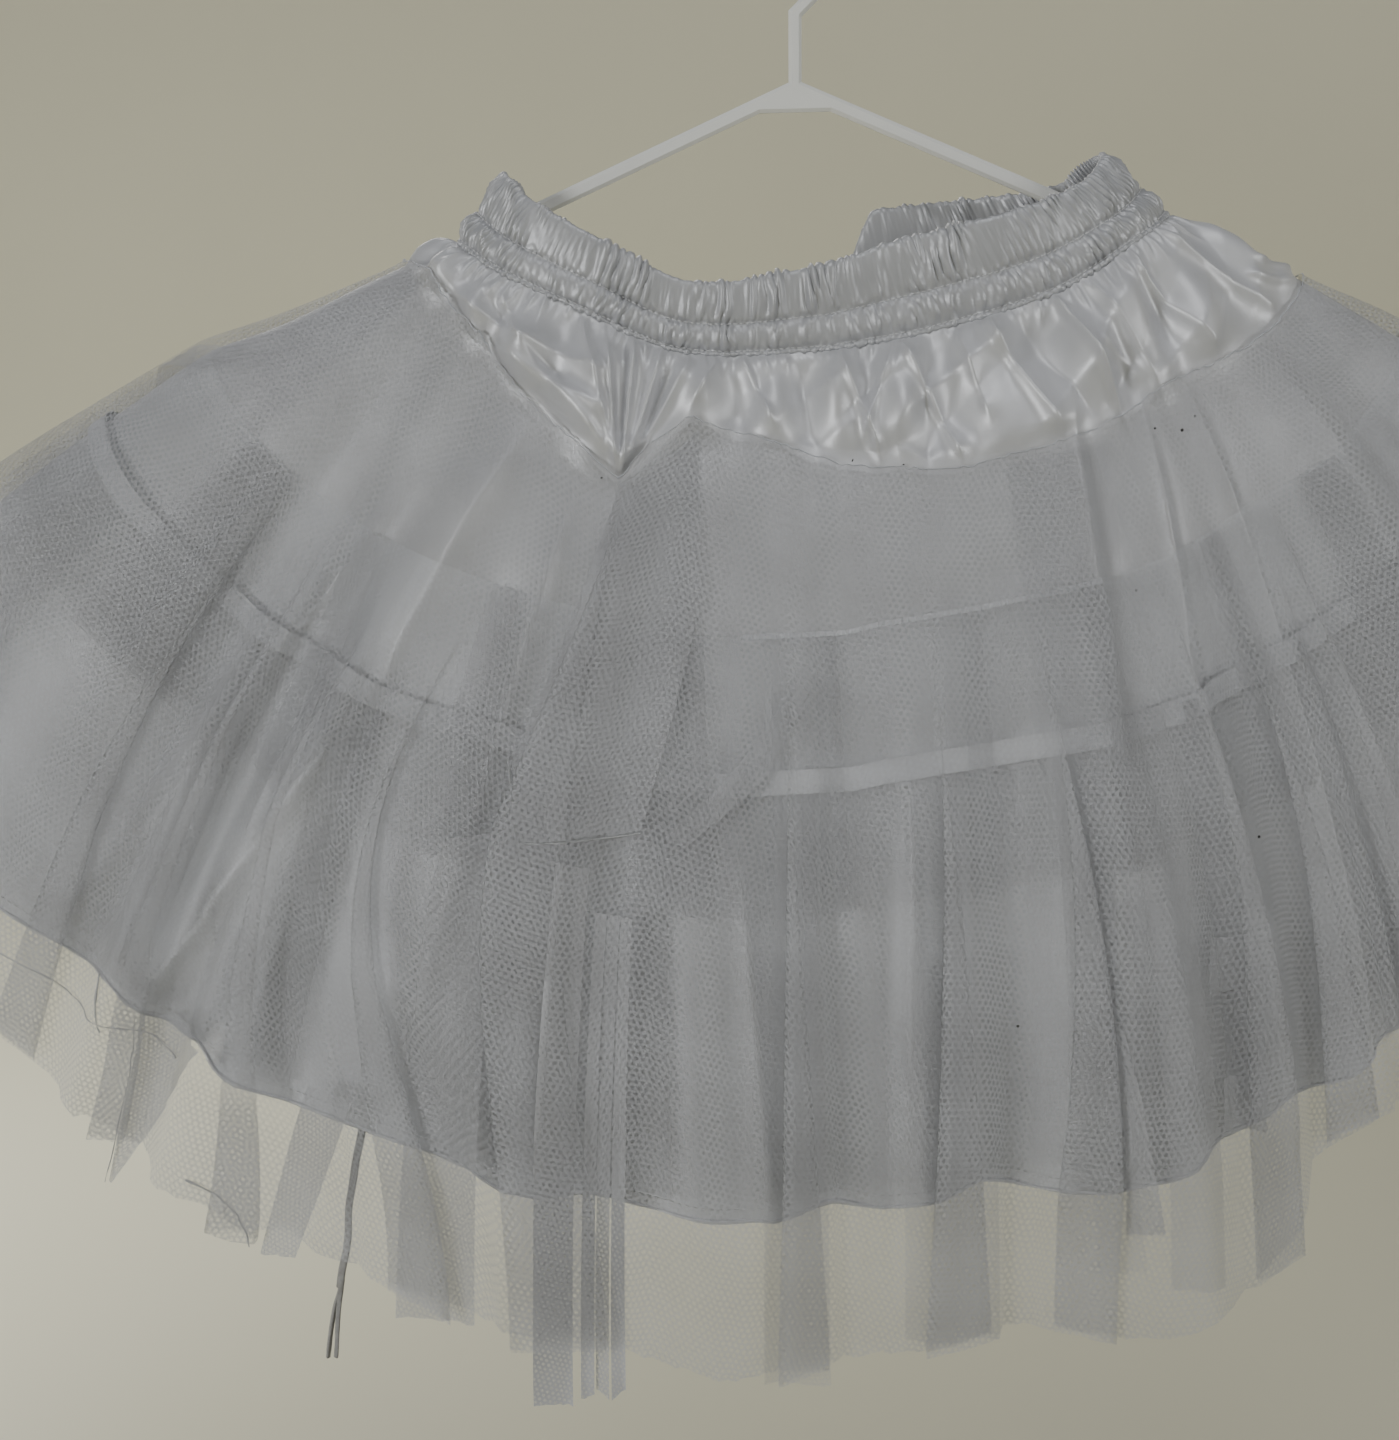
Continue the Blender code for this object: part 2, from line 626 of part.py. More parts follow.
def make_strip(material):
    """The rolled strip: it lies against the lining inside, then hangs free below the hem."""
    steps = 9
    corners = 8
    inside = -(WALL + STRIP_DEPTH) / 2 - 2 * SEAM
    centre = []
    for k in range(steps + 1):
        centre.append(satin_point(STRIP_AROUND, mix(STRIP_TOP, STRIP_END, k / steps), inside))
    side = Vector((math.cos(math.radians(STRIP_AROUND)), math.sin(math.radians(STRIP_AROUND)), 0.0))
    loops = []
    for i, point in enumerate(centre):
        along = (centre[min(i + 1, steps)] - centre[max(i - 1, 0)]).normalized()
        across = (side - along * side.dot(along)).normalized()
        outward = along.cross(across)
        width = mix(STRIP_WIDTH, STRIP_END_WIDTH, i / steps) / 2
        depth = STRIP_DEPTH / 2
        turns = [math.tau * k / corners for k in range(corners)]
        loops.append([point + across * width * math.cos(t) + outward * depth * math.sin(t) for t in turns])
    points = [point for loop in loops for point in loop]
    faces = ring_faces(len(loops), corners)[: corners * steps]
    faces.append(tuple(range(corners)))
    faces.append(tuple(range(len(points) - 1, len(points) - corners - 1, -1)))
    return make_object("rolled_strip", points, faces, material)


def make_material(name):
    red, green, blue, roughness = MATERIALS[name]
    material = bpy.data.materials.new(name)
    material.use_nodes = True
    shader = material.node_tree.nodes["Principled BSDF"]
    shader.inputs["Base Color"].default_value = (red, green, blue, 1.0)
    shader.inputs["Roughness"].default_value = roughness
    shader.inputs["Metallic"].default_value = 0.0
    return material


def build():
    for old in list(bpy.data.objects):
        bpy.data.objects.remove(old, do_unlink=True)
    materials = {name: make_material(name) for name in MATERIALS}
    make_hanger(materials["moulded"])
    make_waistband(materials["satin"])
    make_wall("yoke", yoke_rows(), materials["satin"])
    lining = (YOKE_END + SEAM, TAPE, TIER_UPPER_END, MID_SKIRT, LINING_END)
    make_wall("lining", lining_rows(lining), materials["satin"])
    upper = (YOKE_END + 2 * SEAM, TAPE, TIER_UPPER_END)
    make_wall("tier_upper", tier_rows("upper", upper), materials["tulle"])
    lower = (TAPE, TIER_UPPER_END, MID_SKIRT, TIER_LOWER_END)
    make_wall("tier_lower", tier_rows("lower", lower), materials["tulle"])
    make_wall("tulle_over", outer_rows(), materials["tulle"])
    make_strip(materials["tulle"])


build()
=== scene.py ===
import math

import bpy
import numpy as np
from mathutils import Matrix, Vector


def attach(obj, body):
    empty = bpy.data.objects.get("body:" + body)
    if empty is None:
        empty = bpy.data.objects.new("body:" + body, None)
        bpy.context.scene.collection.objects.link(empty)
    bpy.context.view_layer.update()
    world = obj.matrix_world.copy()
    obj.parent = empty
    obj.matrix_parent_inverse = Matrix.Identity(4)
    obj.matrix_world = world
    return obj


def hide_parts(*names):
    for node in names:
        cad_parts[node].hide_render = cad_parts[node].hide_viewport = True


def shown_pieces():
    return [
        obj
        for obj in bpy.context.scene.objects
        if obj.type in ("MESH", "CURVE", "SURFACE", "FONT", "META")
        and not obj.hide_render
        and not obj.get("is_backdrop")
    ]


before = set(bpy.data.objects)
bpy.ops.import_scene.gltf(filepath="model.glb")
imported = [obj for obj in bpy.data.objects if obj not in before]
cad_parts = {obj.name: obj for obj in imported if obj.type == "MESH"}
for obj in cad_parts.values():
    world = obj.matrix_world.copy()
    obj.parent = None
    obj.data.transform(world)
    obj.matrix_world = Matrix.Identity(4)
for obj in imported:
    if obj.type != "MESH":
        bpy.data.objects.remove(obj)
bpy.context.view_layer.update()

print("frame loaded:", sorted(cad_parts))

# Lengths in metres. around is an angle about the skirt in degrees: 0 front, 90 right end,
# 180 back, 270 or -90 left end. length is measured down the cloth from the band's lower edge.


def mix(a, b, share):
    return a + (b - a) * share


def ease(share):
    share = np.clip(share, 0.0, 1.0)
    return share * share * (3.0 - 2.0 * share)


# how far a value has come from start to stop, kept between nought and one
def between(value, start, stop):
    return np.clip((value - start) / (stop - start), 0.0, 1.0)


# degrees from the middle, the short way round
def wrapAway(around, middle):
    return (around - middle + 180.0) % 360.0 - 180.0


# a smooth line through one column of a table
def tableValue(rows, column, at, period=None):
    places = np.array([row[0] for row in rows], float)
    values = np.array([row[column] for row in rows], float)
    at = np.asarray(at, float)
    if period:
        lift = period if rows is fallTable and column == 1 else 0.0
        at = (at - places[0]) % period + places[0]
        places = np.concatenate((places[-1:] - period, places, places[:2] + period))
        values = np.concatenate((values[-1:] - lift, values, values[:2] + lift))
    else:
        at = np.clip(at, places[0], places[-1])
        places = np.concatenate((places[:1], places, places[-1:]))
        values = np.concatenate((values[:1], values, values[-1:]))
    i = np.clip(np.searchsorted(places, at, side="right") - 1, 1, len(places) - 3)
    p0, p1, p2, p3 = places[i - 1], places[i], places[i + 1], places[i + 2]
    v0, v1, v2, v3 = values[i - 1], values[i], values[i + 1], values[i + 2]
    slopeIn, slopeOut = (v2 - v0) / (p2 - p0), (v3 - v1) / (p3 - p1)
    span = p2 - p1
    s = (at - p1) / span
    return (v1 * (1 + 2 * s) * (1 - s) ** 2 + v2 * s * s * (3 - 2 * s)
            + slopeIn * span * s * (1 - s) ** 2 - slopeOut * span * s * s * (1 - s))


# smooth noise from -1 to 1 on a lattice, the same on every run
def latticeNoise(x, y, seed, wrap=0):
    xi, yi = np.floor(x).astype(np.int64), np.floor(y).astype(np.int64)
    xf, yf = x - xi, y - yi
    xf, yf = xf * xf * xf * (xf * (xf * 6 - 15) + 10), yf * yf * yf * (yf * (yf * 6 - 15) + 10)

    def corner(i, j):
        if wrap:
            i = i % wrap
        n = (i * 374761393 + j * 668265263 + seed * 1274126177) & 0xFFFFFFFF
        n = ((n ^ (n >> 13)) * 1103515245) & 0xFFFFFFFF
        n = ((n ^ (n >> 16)) * 2246822519) & 0xFFFFFFFF
        return ((n ^ (n >> 15)) & 0xFFFFFF) / 0x7FFFFF - 1.0

    top = mix(corner(xi, yi), corner(xi + 1, yi), xf)
    low = mix(corner(xi, yi + 1), corner(xi + 1, yi + 1), xf)
    return mix(top, low, yf)


def lineNoise(x, seed):
    return latticeNoise(x, x * 0, seed)


def unit(v):
    return v / np.maximum(np.linalg.norm(v, axis=-1, keepdims=True), 1e-12)


band = {
    "leftTop": -0.116, "rightTop": 0.122, "leftBottom": -0.136, "rightBottom": 0.149,
    "front": 0.032, "back": 0.015, "squareness": 6,
    "columns": 1840,
    "gathers": 216,        # fine gathers all round
    "ridge": 0.0018,       # height of a gather
    "wander": 4.2,         # how far a gather strays from even spacing
    "streak": 0.0007,      # height of the small creases between gathers
    "pucker": 0.0013,      # height of the crumples beside the stitching
    "seed": 3.0,
    "sewn": (0.575, 0.948),   # how far down the two rows of stitches lie
    "grains": {"wander": 46.0, "slant": 140.0, "tall": 150.0, "streak": 620.0, "pucker": 330.0},
    "slant": 1.5,          # how far a gather leans, against its wander
    "sharp": 0.6,          # lower makes rounder gathers
}
bandEdges = [  # across, front top, front bottom, back top, back bottom
    (-1, -0.1115, -0.137, -0.1115, -0.137),
    (-0.9, -0.1225, -0.147, -0.126, -0.15),
    (-0.65, -0.1395, -0.164, -0.147, -0.174),
    (-0.38, -0.1545, -0.1805, -0.159, -0.186),
    (0, -0.1505, -0.1815, -0.158, -0.185),
    (0.14, -0.1465, -0.179, -0.156, -0.181),
    (0.24, -0.1425, -0.177, -0.13, -0.169),
    (0.33, -0.14, -0.1745, -0.127, -0.162),
    (0.65, -0.1315, -0.1615, -0.124, -0.155),
    (0.88, -0.122, -0.143, -0.12, -0.143),
    (1, -0.1095, -0.133, -0.1095, -0.133),
]


def bandPoint(around, down):
    around, down = np.broadcast_arrays(np.asarray(around, float), np.asarray(down, float))
    turn = np.radians(around)
    across = np.sin(turn)
    bulge = np.sqrt(np.clip(1.0 - np.abs(across) ** band["squareness"], 0.0, None))
    front = np.cos(turn) > 0.0
    top = np.where(front, tableValue(bandEdges, 1, across), tableValue(bandEdges, 3, across))
    low = np.where(front, tableValue(bandEdges, 2, across), tableValue(bandEdges, 4, across))
    left = mix(band["leftTop"], band["leftBottom"], down)
    right = mix(band["rightTop"], band["rightBottom"], down)
    depth = np.where(front, -band["front"], band["back"])
    return np.stack((mix(left, right, (1 + across) / 2), depth * bulge, mix(top, low, down)), -1)


skirt = {
    "wall": 0.0012, "seamGap": 0.0005,
    "yokeEnd": 0.112, "tape": 0.166, "upperEnd": 0.218, "lowerEnd": 0.325, "liningEnd": 0.334,
    "tulleSeam": 0.03, "tulleEnd": 0.39,
    "fluteTop": 0.001, "fluteHem": 0.0045, "yokeGathers": 28, "yokePuff": 0.006,
    "pleatStep": 0.85, "pleatTurn": 0.12,
}
fallTable = [  # around, heading, lean at the top, lean at the hem, yoke left open, hem
    (0, 2, 27, 6, 0.04, -0.004), (20, 6, 27, 6, 0.054, -0.006),
    (35, 27, 27, 8.5, 0.058, -0.008), (42, 41, 27, 9, 0.058, -0.012),
    (49, 47, 28, 10, 0.059, -0.044), (64, 59, 31, 14, 0.06, -0.04),
    (80, 80, 52, 25, 0.062, -0.026), (90, 90, 68, 38, 0.062, -0.016),
    (100, 100, 58, 30, 0.062, -0.008), (125, 118, 26, 15, 0.058, 0),
    (155, 150, 13, 4, 0.052, 0.004), (180, 181, 11, 2, 0.05, 0.008),
    (205, 212, 13, 4, 0.048, 0.006), (235, 242, 29, 18, 0.04, 0),
    (259, 259, 55, 36, 0.028, -0.006), (270, 270, 69, 49, 0.024, -0.014),
    (281, 281, 54, 34, 0.022, -0.026), (290, 284, 39, 22, 0.022, -0.014),
    (311, 300, 30, 17, 0.036, -0.01), (323, 328, 27, 10, 0.058, -0.01),
    (331, 338, 27, 8, 0.063, -0.008), (341, 350, 27, 7, 0.036, -0.002),
]


def fall(around, column):
    return tableValue(fallTable, column, around, 360.0)


def gorePoint(around, length):
    around, length = np.broadcast_arrays(np.asarray(around, float), np.asarray(length, float))
    top = np.radians(fall(around, 2))
    bend = (np.radians(fall(around, 3)) - top) / skirt["tulleEnd"]
    end = top + bend * length
    out = (np.cos(top) - np.cos(end)) / bend
    drop = (np.sin(end) - np.sin(top)) / bend + np.sin(top) * skirt["wall"] / 2
    heading = np.radians(fall(around, 1))
    move = np.stack((np.sin(heading) * out, -np.cos(heading) * out, -drop), -1)
    return bandPoint(around, 1.0) + move


def goreNormal(around, length):
    sideways = gorePoint(around + 0.5, length) - gorePoint(around - 0.5, length)
    downward = gorePoint(around, length + 0.002) - gorePoint(around, length - 0.002)
    return unit(np.cross(downward, sideways))


foldLines = [  # around and length of both ends, wide on the left, wide on the right, height
    (-44, 0.066, -48.5, 0.165, 0.022, 0.009, 0.009), (-50, 0.185, -63.5, 0.33, 0.024, 0.01, 0.009),
    (-58, 0.11, -74, 0.33, 0.014, 0.007, 0.005), (-88, 0.09, -96, 0.2, 0.012, 0.02, 0.005),
    (-36, 0.09, -41, 0.3, 0.01, 0.005, 0.005), (-29.5, 0.08, -30, 0.32, 0.012, 0.006, 0.005),
    (36.5, 0.054, 32.5, 0.16, 0.012, 0.006, 0.0068), (32, 0.16, 28.5, 0.33, 0.012, 0.006, 0.006),
    (47.5, 0.066, 43, 0.15, 0.012, 0.007, 0.007), (42.5, 0.15, 43, 0.32, 0.012, 0.007, 0.007),
    (58, 0.08, 56, 0.32, 0.012, 0.007, 0.0055), (74, 0.09, 71, 0.32, 0.014, 0.008, 0.0055),
    (10, 0.19, 8, 0.33, 0.016, 0.01, 0.003), (-12, 0.2, -9, 0.33, 0.012, 0.008, 0.0035),
    (108, 0.08, 112, 0.32, 0.014, 0.008, 0.0055), (131, 0.07, 128, 0.32, 0.012, 0.007, 0.006),
    (154, 0.09, 157, 0.32, 0.014, 0.008, 0.005), (187, 0.07, 184, 0.32, 0.012, 0.008, 0.006),
    (221, 0.08, 218, 0.32, 0.014, 0.007, 0.0055), (236, 0.09, 240, 0.32, 0.012, 0.008, 0.005),
]


def degreeWide(length):   # metres for each degree around, at a length down the cloth
    return 0.0034 + 0.008 * length


# height of the folds in a table of lines, steep on their narrow side, fading past both ends
def drawnFolds(rows, around, length, taper=0.02):
    height = 0.0
    for startAround, startLength, stopAround, stopLength, left, right, tall in rows:
        middle = (startAround + stopAround) / 2
        x = wrapAway(around, middle) * degreeWide(length)
        x0 = (startAround - middle) * degreeWide(startLength)
        x1 = (stopAround - middle) * degreeWide(stopLength)
        dx, dy = x1 - x0, stopLength - startLength
        reach = math.hypot(dx, dy)
        along = ((x - x0) * dx + (length - startLength) * dy) / reach
        off = ((x - x0) * dy - (length - startLength) * dx) / reach
        beyond = np.maximum(-along, along - reach)
        wide = np.where(off > 0.0, right, left)
        fade = 1 - ease((beyond + taper / 2) / taper)
        height = height + tall * np.exp(-(np.abs(off) / wide) ** 1.15) * fade
    return height


foldTable = [  # around, height, spread left, spread right, length where it begins
    (-66, 0.012, 7, 6, 0.06), (-52, 0.014, 6, 6, 0.04), (-33, 0.01, 6, 8, 0.08),
    (-14, 0.011, 8, 12, 0.03), (10, 0.008, 9, 10, 0.05), (33, 0.026, 12, 6, 0.03),
    (55, 0.006, 8, 7, 0.04), (70, 0.008, 6, 6, 0.06), (118, 0.014, 10, 9, 0.05),
    (146, 0.012, 11, 9, 0.05), (178, 0.015, 12, 12, 0.04),
    (212, 0.012, 10, 11, 0.05), (243, 0.014, 9, 8, 0.05),
]


def broadFolds(around, length):
    height = 0.0
    for middle, tall, left, right, begins in foldTable:
        away = wrapAway(around, middle)
        share = away / np.where(away > 0.0, right, left)
        grown = ease(between(length, begins, skirt["tulleEnd"]))
        height = height + np.where(np.abs(share) < 1, tall * grown * (1 + np.cos(np.pi * share)) / 2, 0)
    return height + drawnFolds(foldLines, around, length, 0.06)


def satinCrest(around, length):
    seam = fall(around, 4)
    share = np.clip(length / seam, 0.0, 1.0)
    puff = skirt["yokePuff"] * np.sin(np.pi * share) + skirt["fluteTop"] * share
    flute = mix(skirt["fluteTop"], skirt["fluteHem"], between(length, seam, skirt["liningEnd"]))
    return np.where(length < seam, puff, flute)


def satinWave(around):
    turn = np.radians(around)
    shift = 1.3 * np.sin(3 * turn) + 0.9 * np.sin(7 * turn)
    return (1 + np.sin(skirt["yokeGathers"] * turn + shift)) / 2


def satinPoint(around, length, out=0.0):
    height = broadFolds(around, length) + satinWave(around) * satinCrest(around, length) + out
    return gorePoint(around, length) + goreNormal(around, length) * height[..., None]


def tullePoint(around, length, out):
    height = broadFolds(around, length) + satinCrest(around, length) + out
    return gorePoint(around, length) + goreNormal(around, length) * height[..., None]


seamCorners = [  # around, length down the yoke
    (-101, 0.028), (-90, 0.024), (-76, 0.016), (-56, 0.025), (-40.8, 0.045), (-29, 0.0585),
    (-25.5, 0.04), (-20, 0.028), (-8, 0.036), (3.8, 0.049), (21.8, 0.058), (34.8, 0.057),
    (52.5, 0.053), (72, 0.059), (91, 0.063), (125, 0.058), (155, 0.052), (180, 0.05),
    (205, 0.048), (235, 0.04),
]


def seamAt(around):
    places, lengths = zip(*seamCorners)
    return np.interp(around, places, lengths, period=360.0)


thinPlaces = [  # where fewer layers lie over the satin: both ends, half widths, share taken away
    (-8, 0.167, 31, 0.167, 0.006, 0.006, 0.55), (-43.5, 0.072, -47.5, 0.155, 0.02, 0.013, 0.8),
    (-50, 0.2, -62, 0.32, 0.015, 0.011, 0.55),
    (-54, 0.322, -42, 0.336, 0.01, 0.01, 0.45), (-92, 0.14, -86, 0.104, 0.01, 0.01, 0.45),
    (-98, 0.235, -88, 0.25, 0.012, 0.012, 0.5), (36, 0.06, 33.5, 0.118, 0.004, 0.004, 0.6),
    (47, 0.072, 43, 0.125, 0.005, 0.005, 0.55), (43, 0.125, 42, 0.25, 0.007, 0.007, 0.4),
    (56, 0.1, 61, 0.13, 0.012, 0.012, 0.35), (-40.5, 0.262, -39.5, 0.28, 0.009, 0.009, 0.45),
    (-21.2, 0.312, -21, 0.332, 0.003, 0.003, 0.5), (-12.5, 0.115, -13, 0.165, 0.014, 0.01, 0.35),
    (8, 0.19, 6, 0.26, 0.022, 0.022, 0.3), (120, 0.09, 118, 0.2, 0.012, 0.012, 0.4),
    (150, 0.15, 152, 0.3, 0.014, 0.01, 0.4), (196, 0.08, 194, 0.2, 0.012, 0.012, 0.45),
    (232, 0.2, 236, 0.31, 0.012, 0.012, 0.4),
]


def thinned(around, length):
    return 1.0 - np.clip(drawnFolds(thinPlaces, around, length, 0.016), 0.0, 0.8)


gapTable = [  # length, gap of the lower tier, of the upper tier, of the outer tulle
    (0.112, 0.0018, 0.0018, 0.005), (0.166, 0.0018, 0.0044, 0.0085), (0.218, 0.0028, 0.0054, 0.0118),
    (0.325, 0.0036, 0.0054, 0.0124), (0.47, 0.0036, 0.0054, 0.011),
]


def outerGap(around, length):
    seam = seamAt(around)
    start = skirt["wall"] + skirt["seamGap"]
    near = mix(start, gapTable[0][3], ease(between(length, seam, gapTable[0][0])))
    return np.where(length < gapTable[0][0], near, tableValue(gapTable, 3, length))


swayTable = [  # around, sideways swing half way down in degrees
    (-90, 0), (-61.5, -2.5), (-47.5, -5), (-38, -6.5), (-28, -5), (-15, -1.5),
    (0, 0), (40, 1.5), (76, 0), (180, 1.5), (269, 0),
]


def swung(around, length):
    down = between(length, skirt["tulleSeam"], skirt["tulleEnd"])
    return around + tableValue(swayTable, 1, around, 360.0) * np.sin(np.pi * down) ** 2


print("form ready")


def addPiece(name, mesh):
    piece = bpy.data.objects.new(name, mesh)
    bpy.context.scene.collection.objects.link(piece)
    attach(piece, "root")
    return piece


# a grid with its first column once more at the end, where the cloth closes
def closedUp(grid, closed=True):
    return np.concatenate((grid, grid[:, :1]), 1) if closed else grid


# the four corners of every face on a grid, a row of four for each face
def faceCorners(grid):
    return np.stack((grid[:-1, :-1], grid[1:, :-1], grid[1:, 1:], grid[:-1, 1:]), -1).reshape(-1, 4)


# a mesh with the cloth's own measures as its UV map, and more numbers kept at its points
def clothMesh(name, points, faces, across, along, **kept):
    mesh = bpy.data.meshes.new(name)
    mesh.from_pydata(points.reshape(-1, 3).tolist(), [], faces.tolist())
    measures = np.stack((across, along), -1).astype(np.float32)
    mesh.uv_layers.new(name="cloth").data.foreach_set("uv", measures.reshape(-1))
    for label, values in kept.items():
        layer = mesh.attributes.new(label, "FLOAT", "POINT")
        layer.data.foreach_set("value", np.asarray(values, np.float32).reshape(-1))
    return mesh


# a grid of points, rows down the cloth. panels gives, for each column of faces, the middle column
# of its panel, from which the threads are counted
def sheetMesh(name, points, closed, dense=None, panels=None):
    rows, columns = points.shape[:2]
    across, along = clothMeasures(points, closed)
    numbers = closedUp(np.arange(rows * columns).reshape(rows, columns), closed)
    u = faceCorners(across)
    if panels is not None:
        centre = across[:, panels]
        u = u - np.stack((centre[:-1], centre[1:], centre[1:], centre[:-1]), -1).reshape(-1, 4)
        u = u + np.tile(across[rows // 2, panels % columns], rows - 1)[:, None]
    thick = np.broadcast_to(1.0 if dense is None else dense, (rows, columns))
    mesh = clothMesh(name, points, faceCorners(numbers), u, faceCorners(along), dense=thick)
    mesh.shade_smooth()
    return mesh


# distance across and along the cloth at every corner
def clothMeasures(points, closed):
    rows, columns = points.shape[:2]
    wrapped = closedUp(points, closed)
    step = np.linalg.norm(np.diff(wrapped, axis=1), axis=2)
    across = np.concatenate((np.zeros((rows, 1)), np.cumsum(step, axis=1)), 1)
    down = np.linalg.norm(np.diff(wrapped, axis=0), axis=2)
    along = np.concatenate((np.zeros((1, wrapped.shape[1])), np.cumsum(down, axis=0)), 0)
    middle = across[:, across.shape[1] // 2 :][:, :1]
    return across - middle, along


def clothArea(points, closed):
    wrapped = closedUp(points, closed)
    a, b = wrapped[:-1, :-1], wrapped[1:, 1:]
    c, d = wrapped[1:, :-1], wrapped[:-1, 1:]
    return float(np.linalg.norm(np.cross(b - a, c - d), axis=2).sum() / 2)


# a closed tube of cloth that stands for a solid; gives the piece and its area
def makeCloth(name, points, material, node, dense=None, panels=None):
    mesh = sheetMesh(name, points, True, dense, panels)
    mesh.materials.append(material)
    piece = addPiece(name, mesh)
    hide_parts(node)
    return piece, clothArea(points, True)


def plainShader(name):
    material = bpy.data.materials.new(name)
    material.use_nodes = True
    return material, material.node_tree, material.node_tree.nodes["Principled BSDF"]


# links each input from the socket that is given, or from a node's first one, or sets its value
def feed(tree, node, inputs):
    for key, value in inputs.items():
        if isinstance(value, bpy.types.Node):
            value = value.outputs[0]
        if isinstance(value, bpy.types.NodeSocket):
            tree.links.new(value, node.inputs[key])
        else:
            node.inputs[key].default_value = value
    return node


def addNode(tree, kind, inputs=None, **settings):
    node = tree.nodes.new(kind)
    for key, value in settings.items():
        setattr(node, key, value)
    return feed(tree, node, inputs or {})


def addMath(tree, operation, *values, **settings):
    inputs = dict(enumerate(values))
    return addNode(tree, "ShaderNodeMath", inputs, operation=operation, **settings).outputs[0]


def addVector(tree, operation, *values):
    return addNode(tree, "ShaderNodeVectorMath", dict(enumerate(values)), operation=operation)


def addNoise(tree, vector, scale, detail):
    inputs = {"Vector": vector, "Scale": scale, "Detail": detail}
    return addNode(tree, "ShaderNodeTexNoise", inputs).outputs["Fac"]


def addBump(tree, height, strength, distance, **normal):
    inputs = dict({"Height": height, "Strength": strength, "Distance": distance}, **normal)
    return addNode(tree, "ShaderNodeBump", inputs).outputs["Normal"]


def addTone(tree, share, dark, light):
    inputs = {0: share, 6: (*dark, 1.0), 7: (*light, 1.0)}
    return addNode(tree, "ShaderNodeMix", inputs, data_type="RGBA").outputs[2]


def objectPlace(tree):
    return addNode(tree, "ShaderNodeTexCoord").outputs["Object"]


def clothPlace(tree):
    return addNode(tree, "ShaderNodeUVMap", uv_map="cloth").outputs["UV"]


def twoTones(tree, shader, vector, scale, dark, light, detail=3.0):
    noise = addNoise(tree, vector, scale, detail)
    feed(tree, shader, {"Base Color": addTone(tree, noise, dark, light)})
    return noise


satinFinish = {
    "dark": (0.62, 0.622, 0.635), "light": (0.75, 0.753, 0.768), "roughness": (0.4, 0.48), "metallic": 0.3,
    "mottle": 60.0, "crinkle": 150.0, "crinkleDepth": 0.00007,
    "weave": 5200.0 / 6.283, "weaveDepth": 0.00002,
}


def satinMaterial(name, finish):
    material, tree, shader = plainShader(name)
    place, cloth = objectPlace(tree), clothPlace(tree)
    mottle = twoTones(tree, shader, place, finish["mottle"], finish["dark"], finish["light"], 1.0)
    smooth, dull = finish["roughness"]
    rough = addNode(tree, "ShaderNodeMapRange", {"To Min": smooth, "To Max": dull, "Value": mottle})
    crinkled = addBump(tree, addNoise(tree, place, finish["crinkle"], 1.0), 0.55, finish["crinkleDepth"])
    weave = addNode(tree, "ShaderNodeTexWave", {"Vector": cloth, "Scale": finish["weave"]})
    woven = addBump(tree, weave.outputs["Fac"], 0.4, finish["weaveDepth"], Normal=crinkled)
    feed(tree, shader, {"Roughness": rough, "Normal": woven, "Specular IOR Level": 0.8,
                        "Metallic": finish["metallic"], "Sheen Weight": 0.1})
    return material


netFinish = {
    "cell": 0.0026,      # from hole to hole
    "thread": 0.5, "hole": 0.17,   # how solid the thread and the hole look
    "low": -0.7, "high": 1.2,       # where the thread thins out into the hole
    "stretch": (110.0, 0.0008, 0.4, 1.5),   # pull on the net: per metre, metres, start, turn
    "grains": 7919.0,    # grains to the metre, by which thread or hole is picked
    "dark": (0.524, 0.525, 0.535), "light": (0.594, 0.597, 0.61),
}


